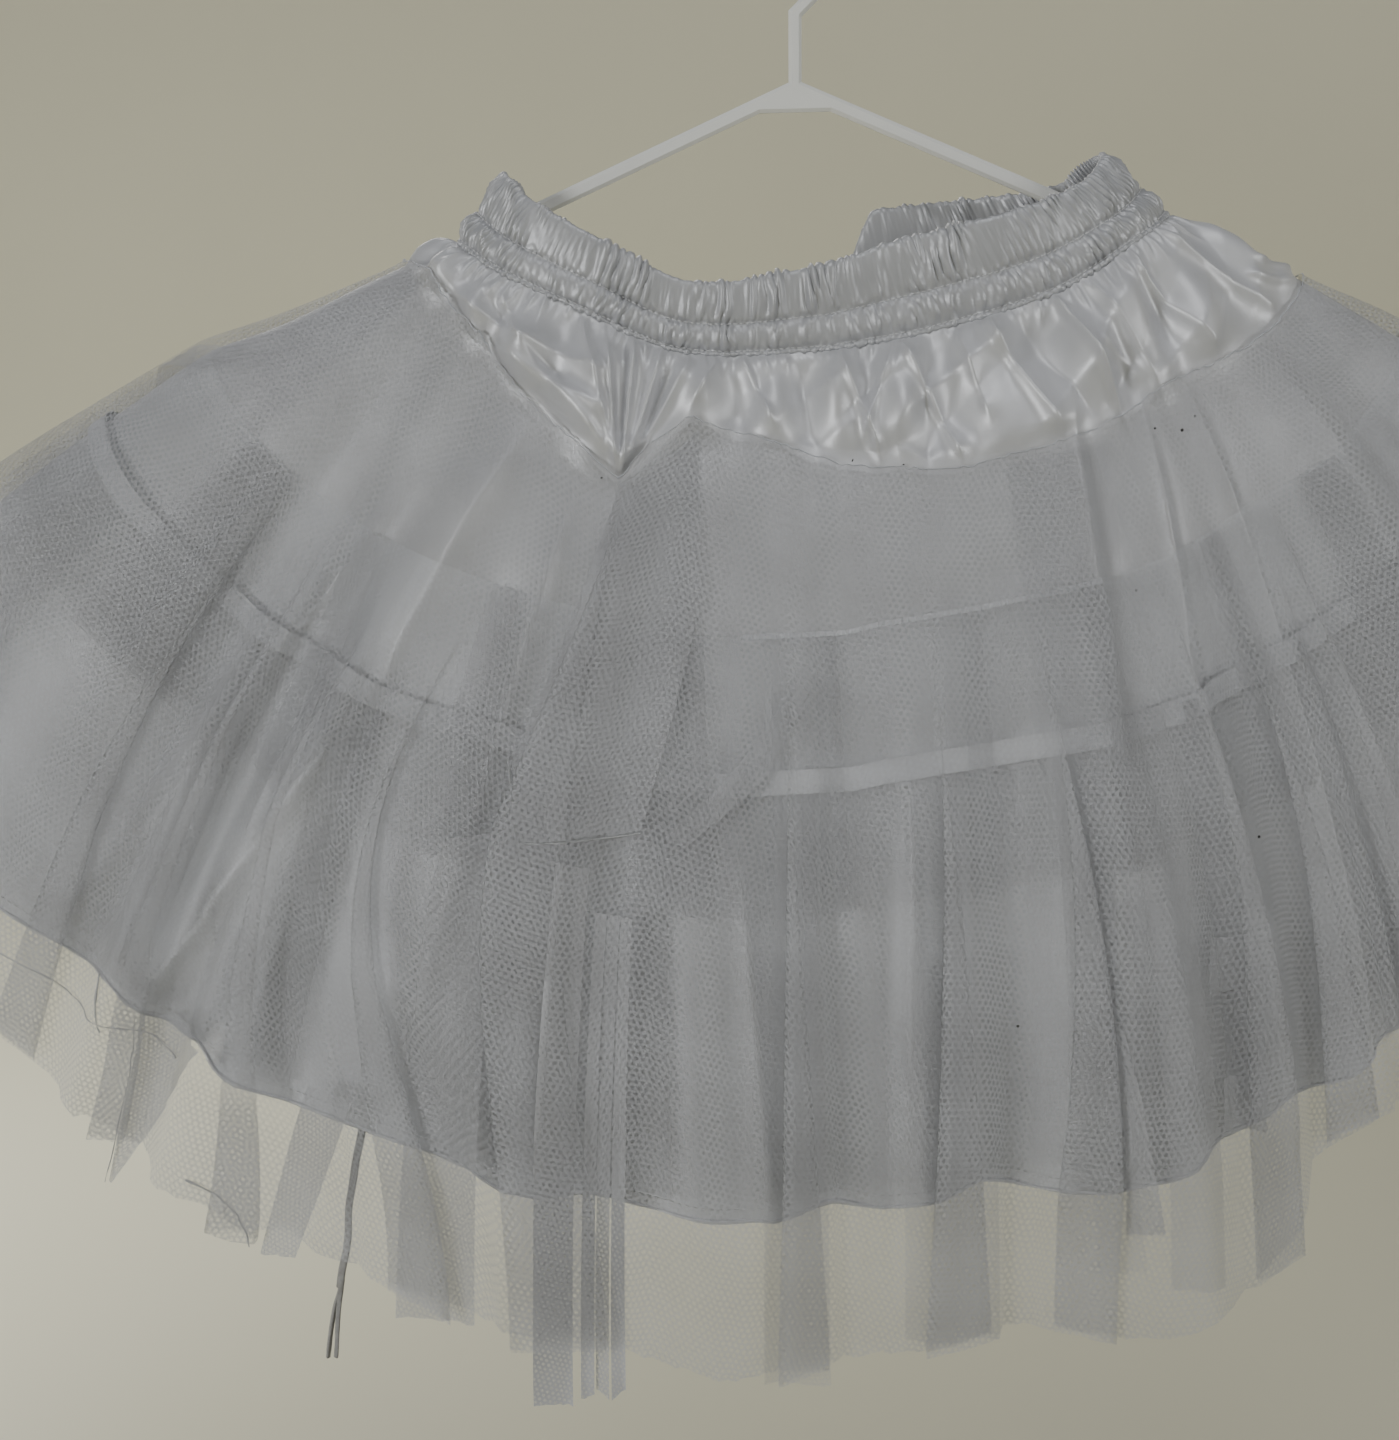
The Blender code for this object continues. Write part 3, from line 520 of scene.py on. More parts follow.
# hexagonal net: three waves a third of a turn apart, high in the middle of every hole
def netMaterial(name, finish, turn):
    material, tree, shader = plainShader(name)
    place, cloth = objectPlace(tree), clothPlace(tree)
    often, far, start, way = finish["stretch"]
    side = addNode(tree, "ShaderNodeVectorRotate", {"Vector": cloth, "Angle": way}, rotation_type="Z_AXIS")
    sway = addVector(tree, "SINE", addVector(tree, "MULTIPLY_ADD", side, (often,) * 3, (start,) * 3))
    pulled = addVector(tree, "MULTIPLY_ADD", sway, (far,) * 3, cloth)
    waves = []
    for k in range(3):
        angle = math.radians(turn + 120.0 * k)
        pitch = 2 * math.pi / (finish["cell"] * math.sqrt(3) / 2)
        direction = (math.cos(angle) * pitch, math.sin(angle) * pitch, 0.0)
        dot = addVector(tree, "DOT_PRODUCT", pulled, direction)
        waves.append(addMath(tree, "COSINE", dot.outputs["Value"]))
    total = addMath(tree, "ADD", addMath(tree, "ADD", waves[0], waves[1]), waves[2])
    solid = addNode(tree, "ShaderNodeMapRange", {
        "Value": total, "From Min": finish["low"], "From Max": finish["high"],
        "To Min": finish["thread"], "To Max": finish["hole"]})
    dense = addNode(tree, "ShaderNodeAttribute", attribute_name="dense")   # thick and thin places
    alpha = addMath(tree, "MULTIPLY", solid, dense.outputs["Fac"], use_clamp=True)
    # thread or hole, picked grain by grain, so that no light is worked out on the holes
    fine = addNode(tree, "ShaderNodeVectorMath", {0: place, "Scale": finish["grains"]}, operation="SCALE")
    grain = addNode(tree, "ShaderNodeTexWhiteNoise", {"Vector": fine}, noise_dimensions="3D")
    pick = addMath(tree, "LESS_THAN", grain.outputs["Value"], alpha)
    uneven = addVector(tree, "DOT_PRODUCT", sway, (0.5, 0.3, 0.0)).outputs["Value"]
    half = addMath(tree, "ADD", uneven, 0.5, use_clamp=True)
    feed(tree, shader, {"Alpha": pick, "Base Color": addTone(tree, half, finish["dark"], finish["light"]),
                        "Roughness": 0.6, "Specular IOR Level": 0.35})
    return material


def threadMaterial(name, dark, light, roughness, scale):
    material, tree, shader = plainShader(name)
    place = objectPlace(tree)
    twoTones(tree, shader, place, scale, dark, light, 2.0)
    bump = addBump(tree, addNoise(tree, place, scale * 4, 2.0), 0.5, 0.0002)
    feed(tree, shader, {"Normal": bump, "Roughness": roughness})
    return material


satin = satinMaterial("whiteSatin", satinFinish)
satinLow = satinMaterial("liningSatin", dict(satinFinish, roughness=(0.44, 0.54), metallic=0.16,
                                             dark=(0.76, 0.77, 0.79), light=(0.84, 0.85, 0.865)))
# a darker copy of the white satin for the band: painted shade for the shadow among its gathers
shadedBandSatin = satinMaterial("shadedBandSatin", dict(satinFinish, roughness=(0.36, 0.48), metallic=0.24,
                                            dark=(0.46, 0.465, 0.48), light=(0.56, 0.565, 0.58)))
net = netMaterial("outerNet", netFinish, 38.0)
tierNet = netMaterial("tierNet", dict(netFinish, cell=0.00084, thread=0.27, hole=0.17), 42.0)
doubledNet = netMaterial("doubledNet", dict(netFinish, cell=0.00215, thread=0.35, hole=0.22), 42.0)
thread = threadMaterial("sewingThread", (0.66, 0.66, 0.66), (0.8, 0.8, 0.8), 0.5, 900.0)
curledNet = threadMaterial("curledNet", (0.42, 0.42, 0.41), (0.58, 0.58, 0.58), 0.75, 500.0)
edgeThread = threadMaterial("edgeThread", (0.46, 0.47, 0.5), (0.62, 0.63, 0.66), 0.6, 500.0)
# the rolled strip is white tulle made dark: painted shade for the shadow it hangs in
shadedRolledTulle = threadMaterial("shadedRolledTulle", (0.22, 0.215, 0.205), (0.42, 0.415, 0.4), 0.75, 420.0)
lint = threadMaterial("darkLint", (0.03, 0.03, 0.03), (0.08, 0.075, 0.07), 0.9, 900.0)
plastic = threadMaterial("mouldedPlastic", (0.91, 0.91, 0.86), (0.95, 0.95, 0.905), 0.34, 60.0)
print("finishes ready")


def newTree(name, sizes):
    tree = bpy.data.node_groups.new(name, "GeometryNodeTree")
    tree.interface.new_socket("Geometry", in_out="INPUT", socket_type="NodeSocketGeometry")
    for label, value in sizes.items():
        kind = "NodeSocketInt" if isinstance(value, int) else "NodeSocketFloat"
        tree.interface.new_socket(label, in_out="INPUT", socket_type=kind).default_value = value
    tree.interface.new_socket("Material", in_out="INPUT", socket_type="NodeSocketMaterial")
    tree.interface.new_socket("Geometry", in_out="OUTPUT", socket_type="NodeSocketGeometry")
    return tree, tree.nodes.new("NodeGroupInput").outputs


def finishTree(tree, given, result):
    whole = addNode(tree, "GeometryNodeRealizeInstances", {0: result})
    shade = addNode(tree, "GeometryNodeSetShadeSmooth", {0: whole, "Shade Smooth": True})
    paint = addNode(tree, "GeometryNodeSetMaterial", {"Geometry": shade, "Material": given["Material"]})
    addNode(tree, "NodeGroupOutput", {0: paint})
    return tree


# runs a tree on a mesh and returns the result as a plain mesh
def growTree(name, mesh, tree, sizes, material):
    holder = bpy.data.objects.new(name + ".holder", mesh)
    bpy.context.scene.collection.objects.link(holder)
    modifier = holder.modifiers.new("grow", "NODES")
    modifier.node_group = tree
    sockets = {item.name: item.identifier for item in tree.interface.items_tree if item.in_out == "INPUT"}
    for label, value in sizes.items():
        modifier[sockets[label]] = value
    modifier[sockets["Material"]] = material
    bpy.context.view_layer.update()
    result = bpy.data.meshes.new_from_object(holder.evaluated_get(bpy.context.evaluated_depsgraph_get()))
    result.name = name
    holder.modifiers.clear()
    bpy.data.objects.remove(holder)
    return result


def lineMesh(name, points, closed):
    count = len(points)
    mesh = bpy.data.meshes.new(name)
    edges = [(i, i + 1) for i in range(count - 1)] + ([(count - 1, 0)] if closed else [])
    mesh.from_pydata([tuple(p) for p in points], edges, [])
    return mesh


def stitchTree():
    tree, given = newTree("stitchRow", {"Spacing": 0.0025, "Stitch": 0.0017, "Thread": 0.00035,
                                        "Stray": 0.15, "Seed": 1})
    curve = addNode(tree, "GeometryNodeMeshToCurve", {0: given["Geometry"]})
    points = addNode(tree, "GeometryNodeCurveToPoints", {"Curve": curve, "Length": given["Spacing"]},
                     mode="LENGTH")
    ball = addNode(tree, "GeometryNodeMeshUVSphere", {"Segments": 6, "Rings": 4, "Radius": 0.5})
    size = addNode(tree, "ShaderNodeCombineXYZ", {"X": given["Thread"], "Y": given["Thread"],
                                                  "Z": given["Stitch"]})
    least = addMath(tree, "MULTIPLY", given["Stray"], -1.0)
    wobble = addNode(tree, "FunctionNodeRandomValue", {"Min": least, "Max": given["Stray"],
                                                       "Seed": given["Seed"]}, data_type="FLOAT_VECTOR")
    stray = addNode(tree, "FunctionNodeEulerToRotation", {0: wobble})
    turn = addNode(tree, "FunctionNodeRotateRotation", {"Rotation": points.outputs["Rotation"],
                                                        "Rotate By": stray}, rotation_space="LOCAL")
    place = addNode(tree, "GeometryNodeInstanceOnPoints", {
        "Points": points.outputs["Points"], "Instance": ball, "Rotation": turn, "Scale": size})
    return finishTree(tree, given, place)


def rolledEdgeTree():
    tree, given = newTree("rolledEdge", {"Radius": 0.0008, "Unevenness": 0.35, "Grain": 180.0,
                                         "Corners": 7})
    curve = addNode(tree, "GeometryNodeMeshToCurve", {0: given["Geometry"]})
    place = addNode(tree, "GeometryNodeInputPosition")
    noise = addNode(tree, "ShaderNodeTexNoise", {"Vector": place, "Scale": given["Grain"]})
    swell = addNode(tree, "ShaderNodeMapRange", {
        "Value": noise.outputs["Fac"], "From Min": 0.25, "From Max": 0.75,
        "To Min": addMath(tree, "SUBTRACT", 1.0, given["Unevenness"]),
        "To Max": addMath(tree, "ADD", 1.0, given["Unevenness"])})
    radius = addNode(tree, "GeometryNodeSetCurveRadius", {"Curve": curve, "Radius": swell})
    ring = addNode(tree, "GeometryNodeCurvePrimitiveCircle", {"Resolution": given["Corners"],
                                                              "Radius": given["Radius"]})
    tube = addNode(tree, "GeometryNodeCurveToMesh", {"Curve": radius, "Profile Curve": ring,
                                                     "Fill Caps": True})
    if "Scale" in tube.inputs:
        feed(tree, tube, {"Scale": swell})
    return finishTree(tree, given, tube)


# ridges on a smooth band: along each normal by a wave whose spacing and height wander
def gatherTree():
    tree, given = newTree("gatheredBand", {"Gathers": 188.0, "Ridge": 0.001, "Wander": 1.5,
                                           "Streak": 0.0005, "Pucker": 0.001, "Seed": 3.0})

    def kept(name):
        return addNode(tree, "GeometryNodeInputNamedAttribute", {"Name": name},
                       data_type="FLOAT").outputs["Attribute"]

    def times(a, b):
        return addMath(tree, "MULTIPLY", a, b)

    def plus(a, b):
        return addMath(tree, "ADD", a, b)

    def noise(vector, scale, detail):
        inputs = {"Vector": vector, "W": given["Seed"], "Scale": scale, "Detail": detail}
        node = addNode(tree, "ShaderNodeTexNoise", inputs, noise_dimensions="4D")
        return addMath(tree, "SUBTRACT", node.outputs["Fac"], 0.5)

    place = addNode(tree, "GeometryNodeInputPosition")
    flat = addVector(tree, "MULTIPLY", place, (1.0, 1.0, 0.16))
    squat = addVector(tree, "MULTIPLY", place, (1.0, 1.0, 0.6))
    grains = band["grains"]
    wander = times(noise(place, grains["wander"], 1.0), given["Wander"])
    slant = times(noise(place, grains["slant"], 1.0), band["slant"])
    phase = plus(plus(times(kept("around"), given["Gathers"]), wander), slant)
    wave = addMath(tree, "ABSOLUTE", addMath(tree, "SINE", times(phase, math.pi)))
    tall = addMath(tree, "MAXIMUM", plus(times(noise(flat, grains["tall"], 0.0), 4.2), 0.45), 0.08)
    lifted = times(times(addMath(tree, "POWER", wave, band["sharp"]), tall), given["Ridge"])
    small = times(noise(flat, grains["streak"], 2.0), times(given["Streak"], 2.0))
    crumple = addMath(tree, "ABSOLUTE", noise(squat, grains["pucker"], 1.0))
    crumple = times(times(crumple, given["Pucker"]), 4.0)
    crumple = addMath(tree, "SUBTRACT", crumple, times(given["Pucker"], 0.4))
    height = plus(times(plus(lifted, small), kept("gather")), times(crumple, kept("pucker")))
    normal = addNode(tree, "GeometryNodeInputNormal")
    move = addNode(tree, "ShaderNodeVectorMath", {0: normal, "Scale": height}, operation="SCALE")
    shift = addNode(tree, "GeometryNodeSetPosition", {"Geometry": given["Geometry"], "Offset": move})
    return finishTree(tree, given, shift)


stitches, rolledEdge, gathers = stitchTree(), rolledEdgeTree(), gatherTree()


def sewLine(name, points, closed, **sizes):
    mesh = growTree(name, lineMesh(name + ".line", points, closed), stitches, sizes, thread)
    return addPiece(name, mesh)


def rollLine(name, points, closed, material, slotName, **sizes):
    mesh = growTree(name, lineMesh(name + ".line", points, closed), rolledEdge, sizes, material)
    return addPiece(name, mesh)


bandProfile = [  # down, out, share of a gather, share of pucker; outside from the top, then inside
    (0, 0, 0.8, 0.1), (0.012, 0.0006, 0.9, 0.1), (0.05, 0.001, 1, 0),
    (0.12, 0.0012, 1, 0), (0.2, 0.0013, 1, 0), (0.28, 0.0013, 1, 0),
    (0.36, 0.0012, 1, 0), (0.44, 0.001, 0.95, 0.1), (0.49, 0.0008, 0.85, 0.3),
    (0.525, 0.0006, 0.65, 0.8), (0.552, 0.0003, 0.4, 1), (0.575, 0.0001, 0.25, 0.7),
    (0.595, 0.0003, 0.4, 1), (0.62, 0.0008, 0.65, 0.9), (0.655, 0.0012, 0.85, 0.5),
    (0.7, 0.0015, 0.95, 0.2), (0.75, 0.0016, 0.95, 0.1), (0.8, 0.0016, 0.95, 0.2),
    (0.85, 0.0013, 0.85, 0.4), (0.895, 0.0009, 0.65, 0.9), (0.925, 0.0004, 0.4, 1),
    (0.948, 0.0001, 0.25, 0.8), (0.968, 0.0004, 0.4, 1), (0.988, 0.0007, 0.6, 1),
    (1.01, 0.0004, 0.6, 0.9), (1.01, -0.0004, 0.3, 0.3), (0.97, -0.0007, 0.3, 0.2),
    (0.92, -0.0009, 0.45, 0.3), (0.8, -0.0012, 0.75, 0), (0.66, -0.001, 0.6, 0.2),
    (0.58, -0.0004, 0.25, 0.6), (0.5, -0.0009, 0.6, 0.2), (0.35, -0.0012, 1, 0),
    (0.18, -0.0012, 1, 0), (0.06, -0.0009, 1, 0), (0.012, -0.0005, 0.85, 0.1),
]


def bandNormal(around):
    sideways = bandPoint(around + 1.0, 0.5) - bandPoint(around - 1.0, 0.5)
    return unit(np.cross(bandPoint(around, 1.0) - bandPoint(around, 0.0), sideways))


def makeBand():
    rows, columns = len(bandProfile), band["columns"]
    around = 360.0 * np.arange(columns) / columns
    down, out, share, pucker = np.array(bandProfile).T
    points = bandPoint(around[None, :], down[:, None]) + bandNormal(around)[None] * out[:, None, None]
    across, along = clothMeasures(np.concatenate((points, points[:1]), 0), True)
    numbers = np.pad(np.arange(rows * columns).reshape(rows, columns), ((0, 1), (0, 1)), "wrap")
    mesh = clothMesh("waistband.smooth", points, faceCorners(numbers), faceCorners(across),
                     faceCorners(along), around=np.tile(around / 360.0, rows),
                     gather=np.repeat(share, columns), pucker=np.repeat(pucker, columns))
    given = ("gathers", "ridge", "wander", "streak", "pucker", "seed")
    sizes = {label.capitalize(): float(band[label]) for label in given}
    piece = addPiece("waistBand", growTree("waistBand", mesh, gathers, sizes, shadedBandSatin))
    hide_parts("waistband")
    turn = np.arange(0, 360, 0.5)
    for k, level in enumerate(band["sewn"]):
        line = bandPoint(turn, level) + bandNormal(turn) * 0.0009
        sewLine("bandStitch%d" % (k + 1), line, True, Spacing=0.0024, Stitch=0.0019, Thread=0.0004,
                Seed=k + 4)
    return piece


waistBand = makeBand()
print("waistband made:", len(waistBand.data.polygons), "faces")


yokeWork = {
    "columns": 1260, "rows": 58, "upperRows": 44, "begins": -0.003, "seed": 11,
    "deepest": 0.003,    # no trough goes deeper
    "ridges": 210,        # short gathers under the band
    "ridgeReach": (0.006, 0.022), "ridgeWide": (0.3, 0.6), "ridgeTall": (0.0007, 0.0022),
    "ridgeSlant": 110.0,
    "facets": 1.05,       # height of the flat-sided crumples against their table
}
yokeFacets = [  # times around, slant in turns for each metre, height
    (9, 15.0, 0.0054), (16, 21.0, 0.0026),
]
yokeFolds = [  # around and length of both ends, wide on the left, wide on the right, height
    (-78, 0.014, -34, 0.022, 0.008, 0.004, 0.0052), (-68, 0.02, -33, 0.036, 0.008, 0.004, 0.0056),
    (-56, 0.008, -32, 0.048, 0.007, 0.004, 0.0056), (-60, 0.01, -40, 0.029, 0.005, 0.003, -0.0034),
    (-40, 0.003, -30.5, 0.05, 0.004, 0.003, 0.004), (-34.5, 0.01, -29.8, 0.054, 0.003, 0.002, 0.005),
    (-30.2, 0.004, -29, 0.054, 0.003, 0.003, 0.0052), (-25.5, 0.003, -28.4, 0.05, 0.005, 0.003, 0.005),
    (-21, 0.006, -27.2, 0.044, 0.004, 0.004, 0.0044), (-23.5, 0.01, -26.5, 0.036, 0.002, 0.002, -0.003),
    (-16, 0.004, -20, 0.024, 0.004, 0.003, 0.003), (-12, 0.003, -7.5, 0.03, 0.006, 0.003, 0.0046),
    (-3, 0.01, -1, 0.04, 0.009, 0.006, -0.0044), (3, 0.004, 8.5, 0.046, 0.003, 0.007, 0.005),
    (11, 0.008, 6.5, 0.036, 0.003, 0.003, 0.0036), (13, 0.004, 21, 0.054, 0.003, 0.006, 0.0048),
    (16.5, 0.016, 16, 0.05, 0.006, 0.004, -0.004), (22, 0.004, 25, 0.04, 0.003, 0.006, 0.0036),
    (26.8, 0.004, 35.2, 0.058, 0.004, 0.008, 0.0064), (33, 0.008, 40, 0.05, 0.005, 0.006, -0.0044),
    (40, 0.004, 44.8, 0.062, 0.003, 0.005, 0.0056), (47.5, 0.004, 52.5, 0.06, 0.005, 0.007, 0.004),
    (44.5, 0.024, 49.5, 0.046, 0.008, 0.008, 0.004), (57, 0.006, 66, 0.056, 0.004, 0.01, 0.0048),
    (70, 0.006, 80, 0.058, 0.005, 0.01, 0.0044), (80, 0.04, 88, 0.062, 0.002, 0.003, 0.003),
    (84, 0.038, 91, 0.06, 0.002, 0.003, 0.003), (112, 0.006, 106, 0.06, 0.005, 0.008, 0.005),
    (136, 0.006, 141, 0.056, 0.006, 0.004, 0.0046), (152, 0.006, 148, 0.052, 0.004, 0.006, 0.005),
    (171, 0.006, 175, 0.05, 0.006, 0.004, 0.0044), (188, 0.006, 184, 0.05, 0.004, 0.006, 0.005),
    (206, 0.006, 211, 0.046, 0.006, 0.004, 0.0044), (226, 0.006, 222, 0.04, 0.004, 0.006, 0.0046),
    (250, 0.004, 254, 0.026, 0.006, 0.004, 0.0036),
]


# crumples with flat sides and sharp edges: triangle waves that cross each other
def facets(rows, around, length, seed):
    height = 0.0
    turn = np.asarray(around, float) / 360.0
    for k, (times, slant, tall) in enumerate(rows):
        bend = latticeNoise(turn * times, length * 34.0, seed + 3 * k, times) * 0.28
        strong = 0.62 + 0.5 * latticeNoise(turn * (times + 6), length * 26.0, seed + 3 * k + 1, times + 6)
        phase = turn * times + slant * length + bend
        height = height + tall * np.clip(strong, 0.0, 1.2) * (np.abs(phase - np.round(phase)) * 4.0 - 1.0)
    return height


# short gathers under the band, folds drawn one by one and flat-sided crumples between them
def yokeRelief(around, length):
    random = np.random.default_rng(yokeWork["seed"])
    height = np.zeros(np.broadcast(around, length).shape)
    for k in range(yokeWork["ridges"]):
        middle = 360.0 * (k + random.uniform(-0.35, 0.35)) / yokeWork["ridges"]
        reach = random.uniform(*yokeWork["ridgeReach"])
        wide = random.uniform(*yokeWork["ridgeWide"])
        tall = random.uniform(*yokeWork["ridgeTall"]) * (1 if random.random() < 0.75 else -0.6)
        slant = random.uniform(-yokeWork["ridgeSlant"], yokeWork["ridgeSlant"])
        away = wrapAway(around - slant * length, middle) / (wide * (1 + length / 0.018))
        height += tall * np.exp(-np.abs(away) ** 1.4) * (1 - ease(length / reach))
    height += drawnFolds(yokeFolds, around, length, 0.012)
    calm = np.interp(around, (-180, -110, -80, -45, -25, 45, 75, 100, 180),
                     (1, 0.8, 0.25, 0.4, 1, 1, 0.35, 0.5, 1))
    crumple = yokeWork["facets"] * calm * facets(yokeFacets, around, length, 301)
    seam = seamAt(around)
    loose = ease((length - 0.002) / 0.014) * (1 - 0.88 * ease((length - seam + 0.009) / 0.009))
    held = ease((length + 0.001) / 0.005) * (1 - 0.85 * ease((length - seam + 0.009) / 0.009))
    return height * held + crumple * loose


def makeYoke():
    around = np.linspace(-180.0, 180.0, yokeWork["columns"], endpoint=False)[None, :]
    seam = fall(around, 4)
    upper = np.linspace(0.0, 1.0, yokeWork["upperRows"])[:, None]
    lower = np.linspace(0.0, 1.0, yokeWork["rows"] - yokeWork["upperRows"] + 1)[1:, None]
    length = np.concatenate((mix(yokeWork["begins"], seam, upper), mix(seam, skirt["yokeEnd"], lower)), 0)
    around = np.broadcast_to(around, length.shape)
    height, deepest = yokeRelief(around, length), yokeWork["deepest"]
    height = np.where(height < 0, deepest * (np.exp(np.minimum(height, 0) / deepest) - 1), height)
    return makeCloth("yokeSatin", satinPoint(around, length, height), satin, "yoke")


yokeSatin, yokeArea = makeYoke()

liningWork = {"columns": 900, "rows": 60, "ripple": 0.0008}


def liningRelief(around, length):
    u, v = around * 0.42, length * 9.0
    bend = latticeNoise(u * 0.4, v, 3, 60) * 1.4
    streak = latticeNoise(u + bend, v * 1.6, 4, 151)
    broad = latticeNoise(u * 0.35, v * 0.8, 6, 53)
    free = ease((length - skirt["yokeEnd"]) / 0.03)
    return liningWork["ripple"] * (streak * 0.7 + broad) * free


def liningHem(around):
    return skirt["liningEnd"] + 0.0016 * lineNoise(around * 0.16, 12)


def makeLining():
    around = np.linspace(-180.0, 180.0, liningWork["columns"], endpoint=False)[None, :]
    share = np.linspace(0.0, 1.0, liningWork["rows"])[:, None]
    length = mix(skirt["yokeEnd"] - 0.001, liningHem(around), share)
    around = np.broadcast_to(around, length.shape)
    points = satinPoint(around, length, liningRelief(around, length) - 0.0002)
    piece, area = makeCloth("liningSatin", points, satinLow, "lining")
    roll = rollLine("liningHem", points[-1], True, satin, "satin", Radius=0.0008, Unevenness=0.7,
                    Grain=90.0)
    around, above = around[-1], length[-1] - 0.005
    line = satinPoint(around, above, liningRelief(around, above) + 0.0004)
    sewn = sewLine("liningStitch", line, True, Spacing=0.0032, Stitch=0.0024, Thread=0.00035, Seed=9)
    return piece, area, [roll, sewn]


liningSatin, liningArea, liningTrim = makeLining()
print("satin made:", round(yokeArea, 3), round(liningArea, 3), "square metres")


tierWork = {"step": 0.5, "rows": 26, "ripple": 0.0009, "layer": 0.00045}
upperTucks = [  # around, half width in degrees at the top, at the hem
    (-76, 2.6, 3.4), (-57, 2.6, 3.2), (-40, 1.4, 2), (-18, 1.2, 3.2), (-1, 1.4, 1.8),
    (20, 1, 2), (33, 1, 1.8), (51, 1.8, 2.6), (70, 2, 3.4), (92, 1.6, 2.8),
    (122, 1.6, 3.2), (156, 1.8, 3.4), (186, 1.4, 3.2), (216, 1.8, 3.4), (246, 1.6, 3.2),
]
lowerTucks = [
    (-84, 1.6, 2.8), (-66, 2.2, 3), (-49, 1.8, 2.2), (-36, 1, 2), (-22, 1.6, 3),
    (-4, 0.8, 1.2), (16, 0.8, 1.4), (28, 1, 2.2), (41, 1.4, 2.6), (60, 1.2, 3.4),
    (78, 1.4, 3), (106, 1.4, 3), (138, 1.4, 3.4), (168, 1.6, 3.2), (200, 1.4, 3.4),
    (230, 1.6, 3.2), (256, 1.6, 2.8),
]


def nearestTuck(marks, c, way):
    while True:
        c = (c + way) % len(marks)
        if marks[c][3]:
            return marks[c]


# a tier whose cloth doubles back at every tuck, so that it lies three deep there
def tuckedTier(name, tucks, gapColumn, begins, ends, node, seed):
    marks = []  # middle of the tuck or plain place, place within the tuck, layers under it
    tucks = sorted(tucks)
    for k, (middle, top, low) in enumerate(tucks):
        for place, layer in ((-1, 2.0), (1, 2.0), (1, 1.0), (-1, 1.0), (-1, 0.0), (1, 0.0)):
            marks.append((middle, place, layer, top, low))
        follower = tucks[(k + 1) % len(tucks)]
        start, stop = middle + low, follower[0] - follower[2]
        stop += 360.0 if stop < start else 0.0
        count = max(2, round((stop - start) / tierWork["step"]))
        for i in range(1, count):
            marks.append((mix(start, stop, i / count), 0, 2.0 * ease(i / count), None, None))
    share = np.linspace(0.0, 1.0, tierWork["rows"])[:, None]
    around = np.zeros((len(share), len(marks)))
    layer = np.zeros(len(marks))
    for c, (middle, place, under, top, low) in enumerate(marks):
        layer[c] = float(under)
        around[:, c] = middle if top is None else middle + place * mix(top, low, share[:, 0])
    for c, mark in enumerate(marks):   # plain columns spread with the tucks beside them
        if mark[3] is None:
            before, after = nearestTuck(marks, c, -1), nearestTuck(marks, c, 1)
            start = before[0] + mix(before[3], before[4], share[:, 0])
            stop = after[0] - mix(after[3], after[4], share[:, 0])
            first, last = before[0] + before[4], after[0] - after[4]
            lift = 360.0 if last < first else 0.0
            portion = (mark[0] - first) / (last + lift - first)
            around[:, c] = mix(start, stop + lift, portion)
    hem = ends + 0.0022 * lineNoise(around[-1] * 0.3, seed)
    length = mix(begins, hem[None, :], share)
    random = latticeNoise(around * 1.1, length * 7.0, seed + 1)
    fine = latticeNoise(around * 3.1, length * 12.0, seed + 2)
    loose = 0.25 + 0.75 * share
    gap = tableValue(gapTable, gapColumn, length)
    out = gap + tierWork["ripple"] * loose * (random * 0.8 + fine * 0.35)
    out = out + layer[None] * tierWork["layer"] * loose
    dense = (1.0 + 0.16 * latticeNoise(around * 0.5, length * 9.0, seed + 3)) * thinned(around, length)
    return makeCloth(name, tullePoint(around, length, out), tierNet, node, dense)


upperTier, upperArea = tuckedTier(
    "upperTier", upperTucks, 2, skirt["yokeEnd"] + 0.001, skirt["upperEnd"], "tier_upper", 31)
lowerTier, lowerArea = tuckedTier(
    "lowerTier", lowerTucks, 1, skirt["tape"], skirt["lowerEnd"], "tier_lower", 41)


tapeWork = {"samples": 720, "weave": 700.0, "dark": (0.74, 0.75, 0.78), "bright": (0.92, 0.93, 0.95)}
# around and paleness: painted highlight where the tape catches the light, painted shade where it lies in
# shade
tapePaintedLight = [(-60.0, 0.4), (-30.0, 0.3), (-16.0, 0.55), (-8.0, 1.0), (0.0, 1.0), (4.0, 0.45), (12.0, 0.45),
            (17.0, 1.0), (29.0, 1.0), (35.0, 0.35), (60.0, 0.2), (180.0, 0.3)]
bindingPaintedLight = [(-60.0, 0.0), (-8.0, 0.0), (-2.0, 0.55), (26.0, 0.65), (31.0, 0.2), (60.0, 0.1),
               (180.0, 0.2)]


# woven tape whose painted highlight and painted shade are kept at the corners of its mesh
def tapeMaterial():
    material, tree, shader = plainShader("tapeWeave")
    cloth = clothPlace(tree)
    # the tape's painted highlight and shade, read from its mesh
    paintedLitShare = addNode(tree, "ShaderNodeAttribute", attribute_name="dense").outputs["Fac"]
    tone = addTone(tree, paintedLitShare, tapeWork["dark"], tapeWork["bright"])
    weave = addNode(tree, "ShaderNodeTexWave", {"Vector": cloth, "Scale": tapeWork["weave"],
                                                "Distortion": 0.6})
    bump = addBump(tree, weave.outputs["Fac"], 0.5, 0.00008)
    feed(tree, shader, {"Base Color": tone, "Normal": bump, "Roughness": 0.45})
    return material


tapeWeave = tapeMaterial()


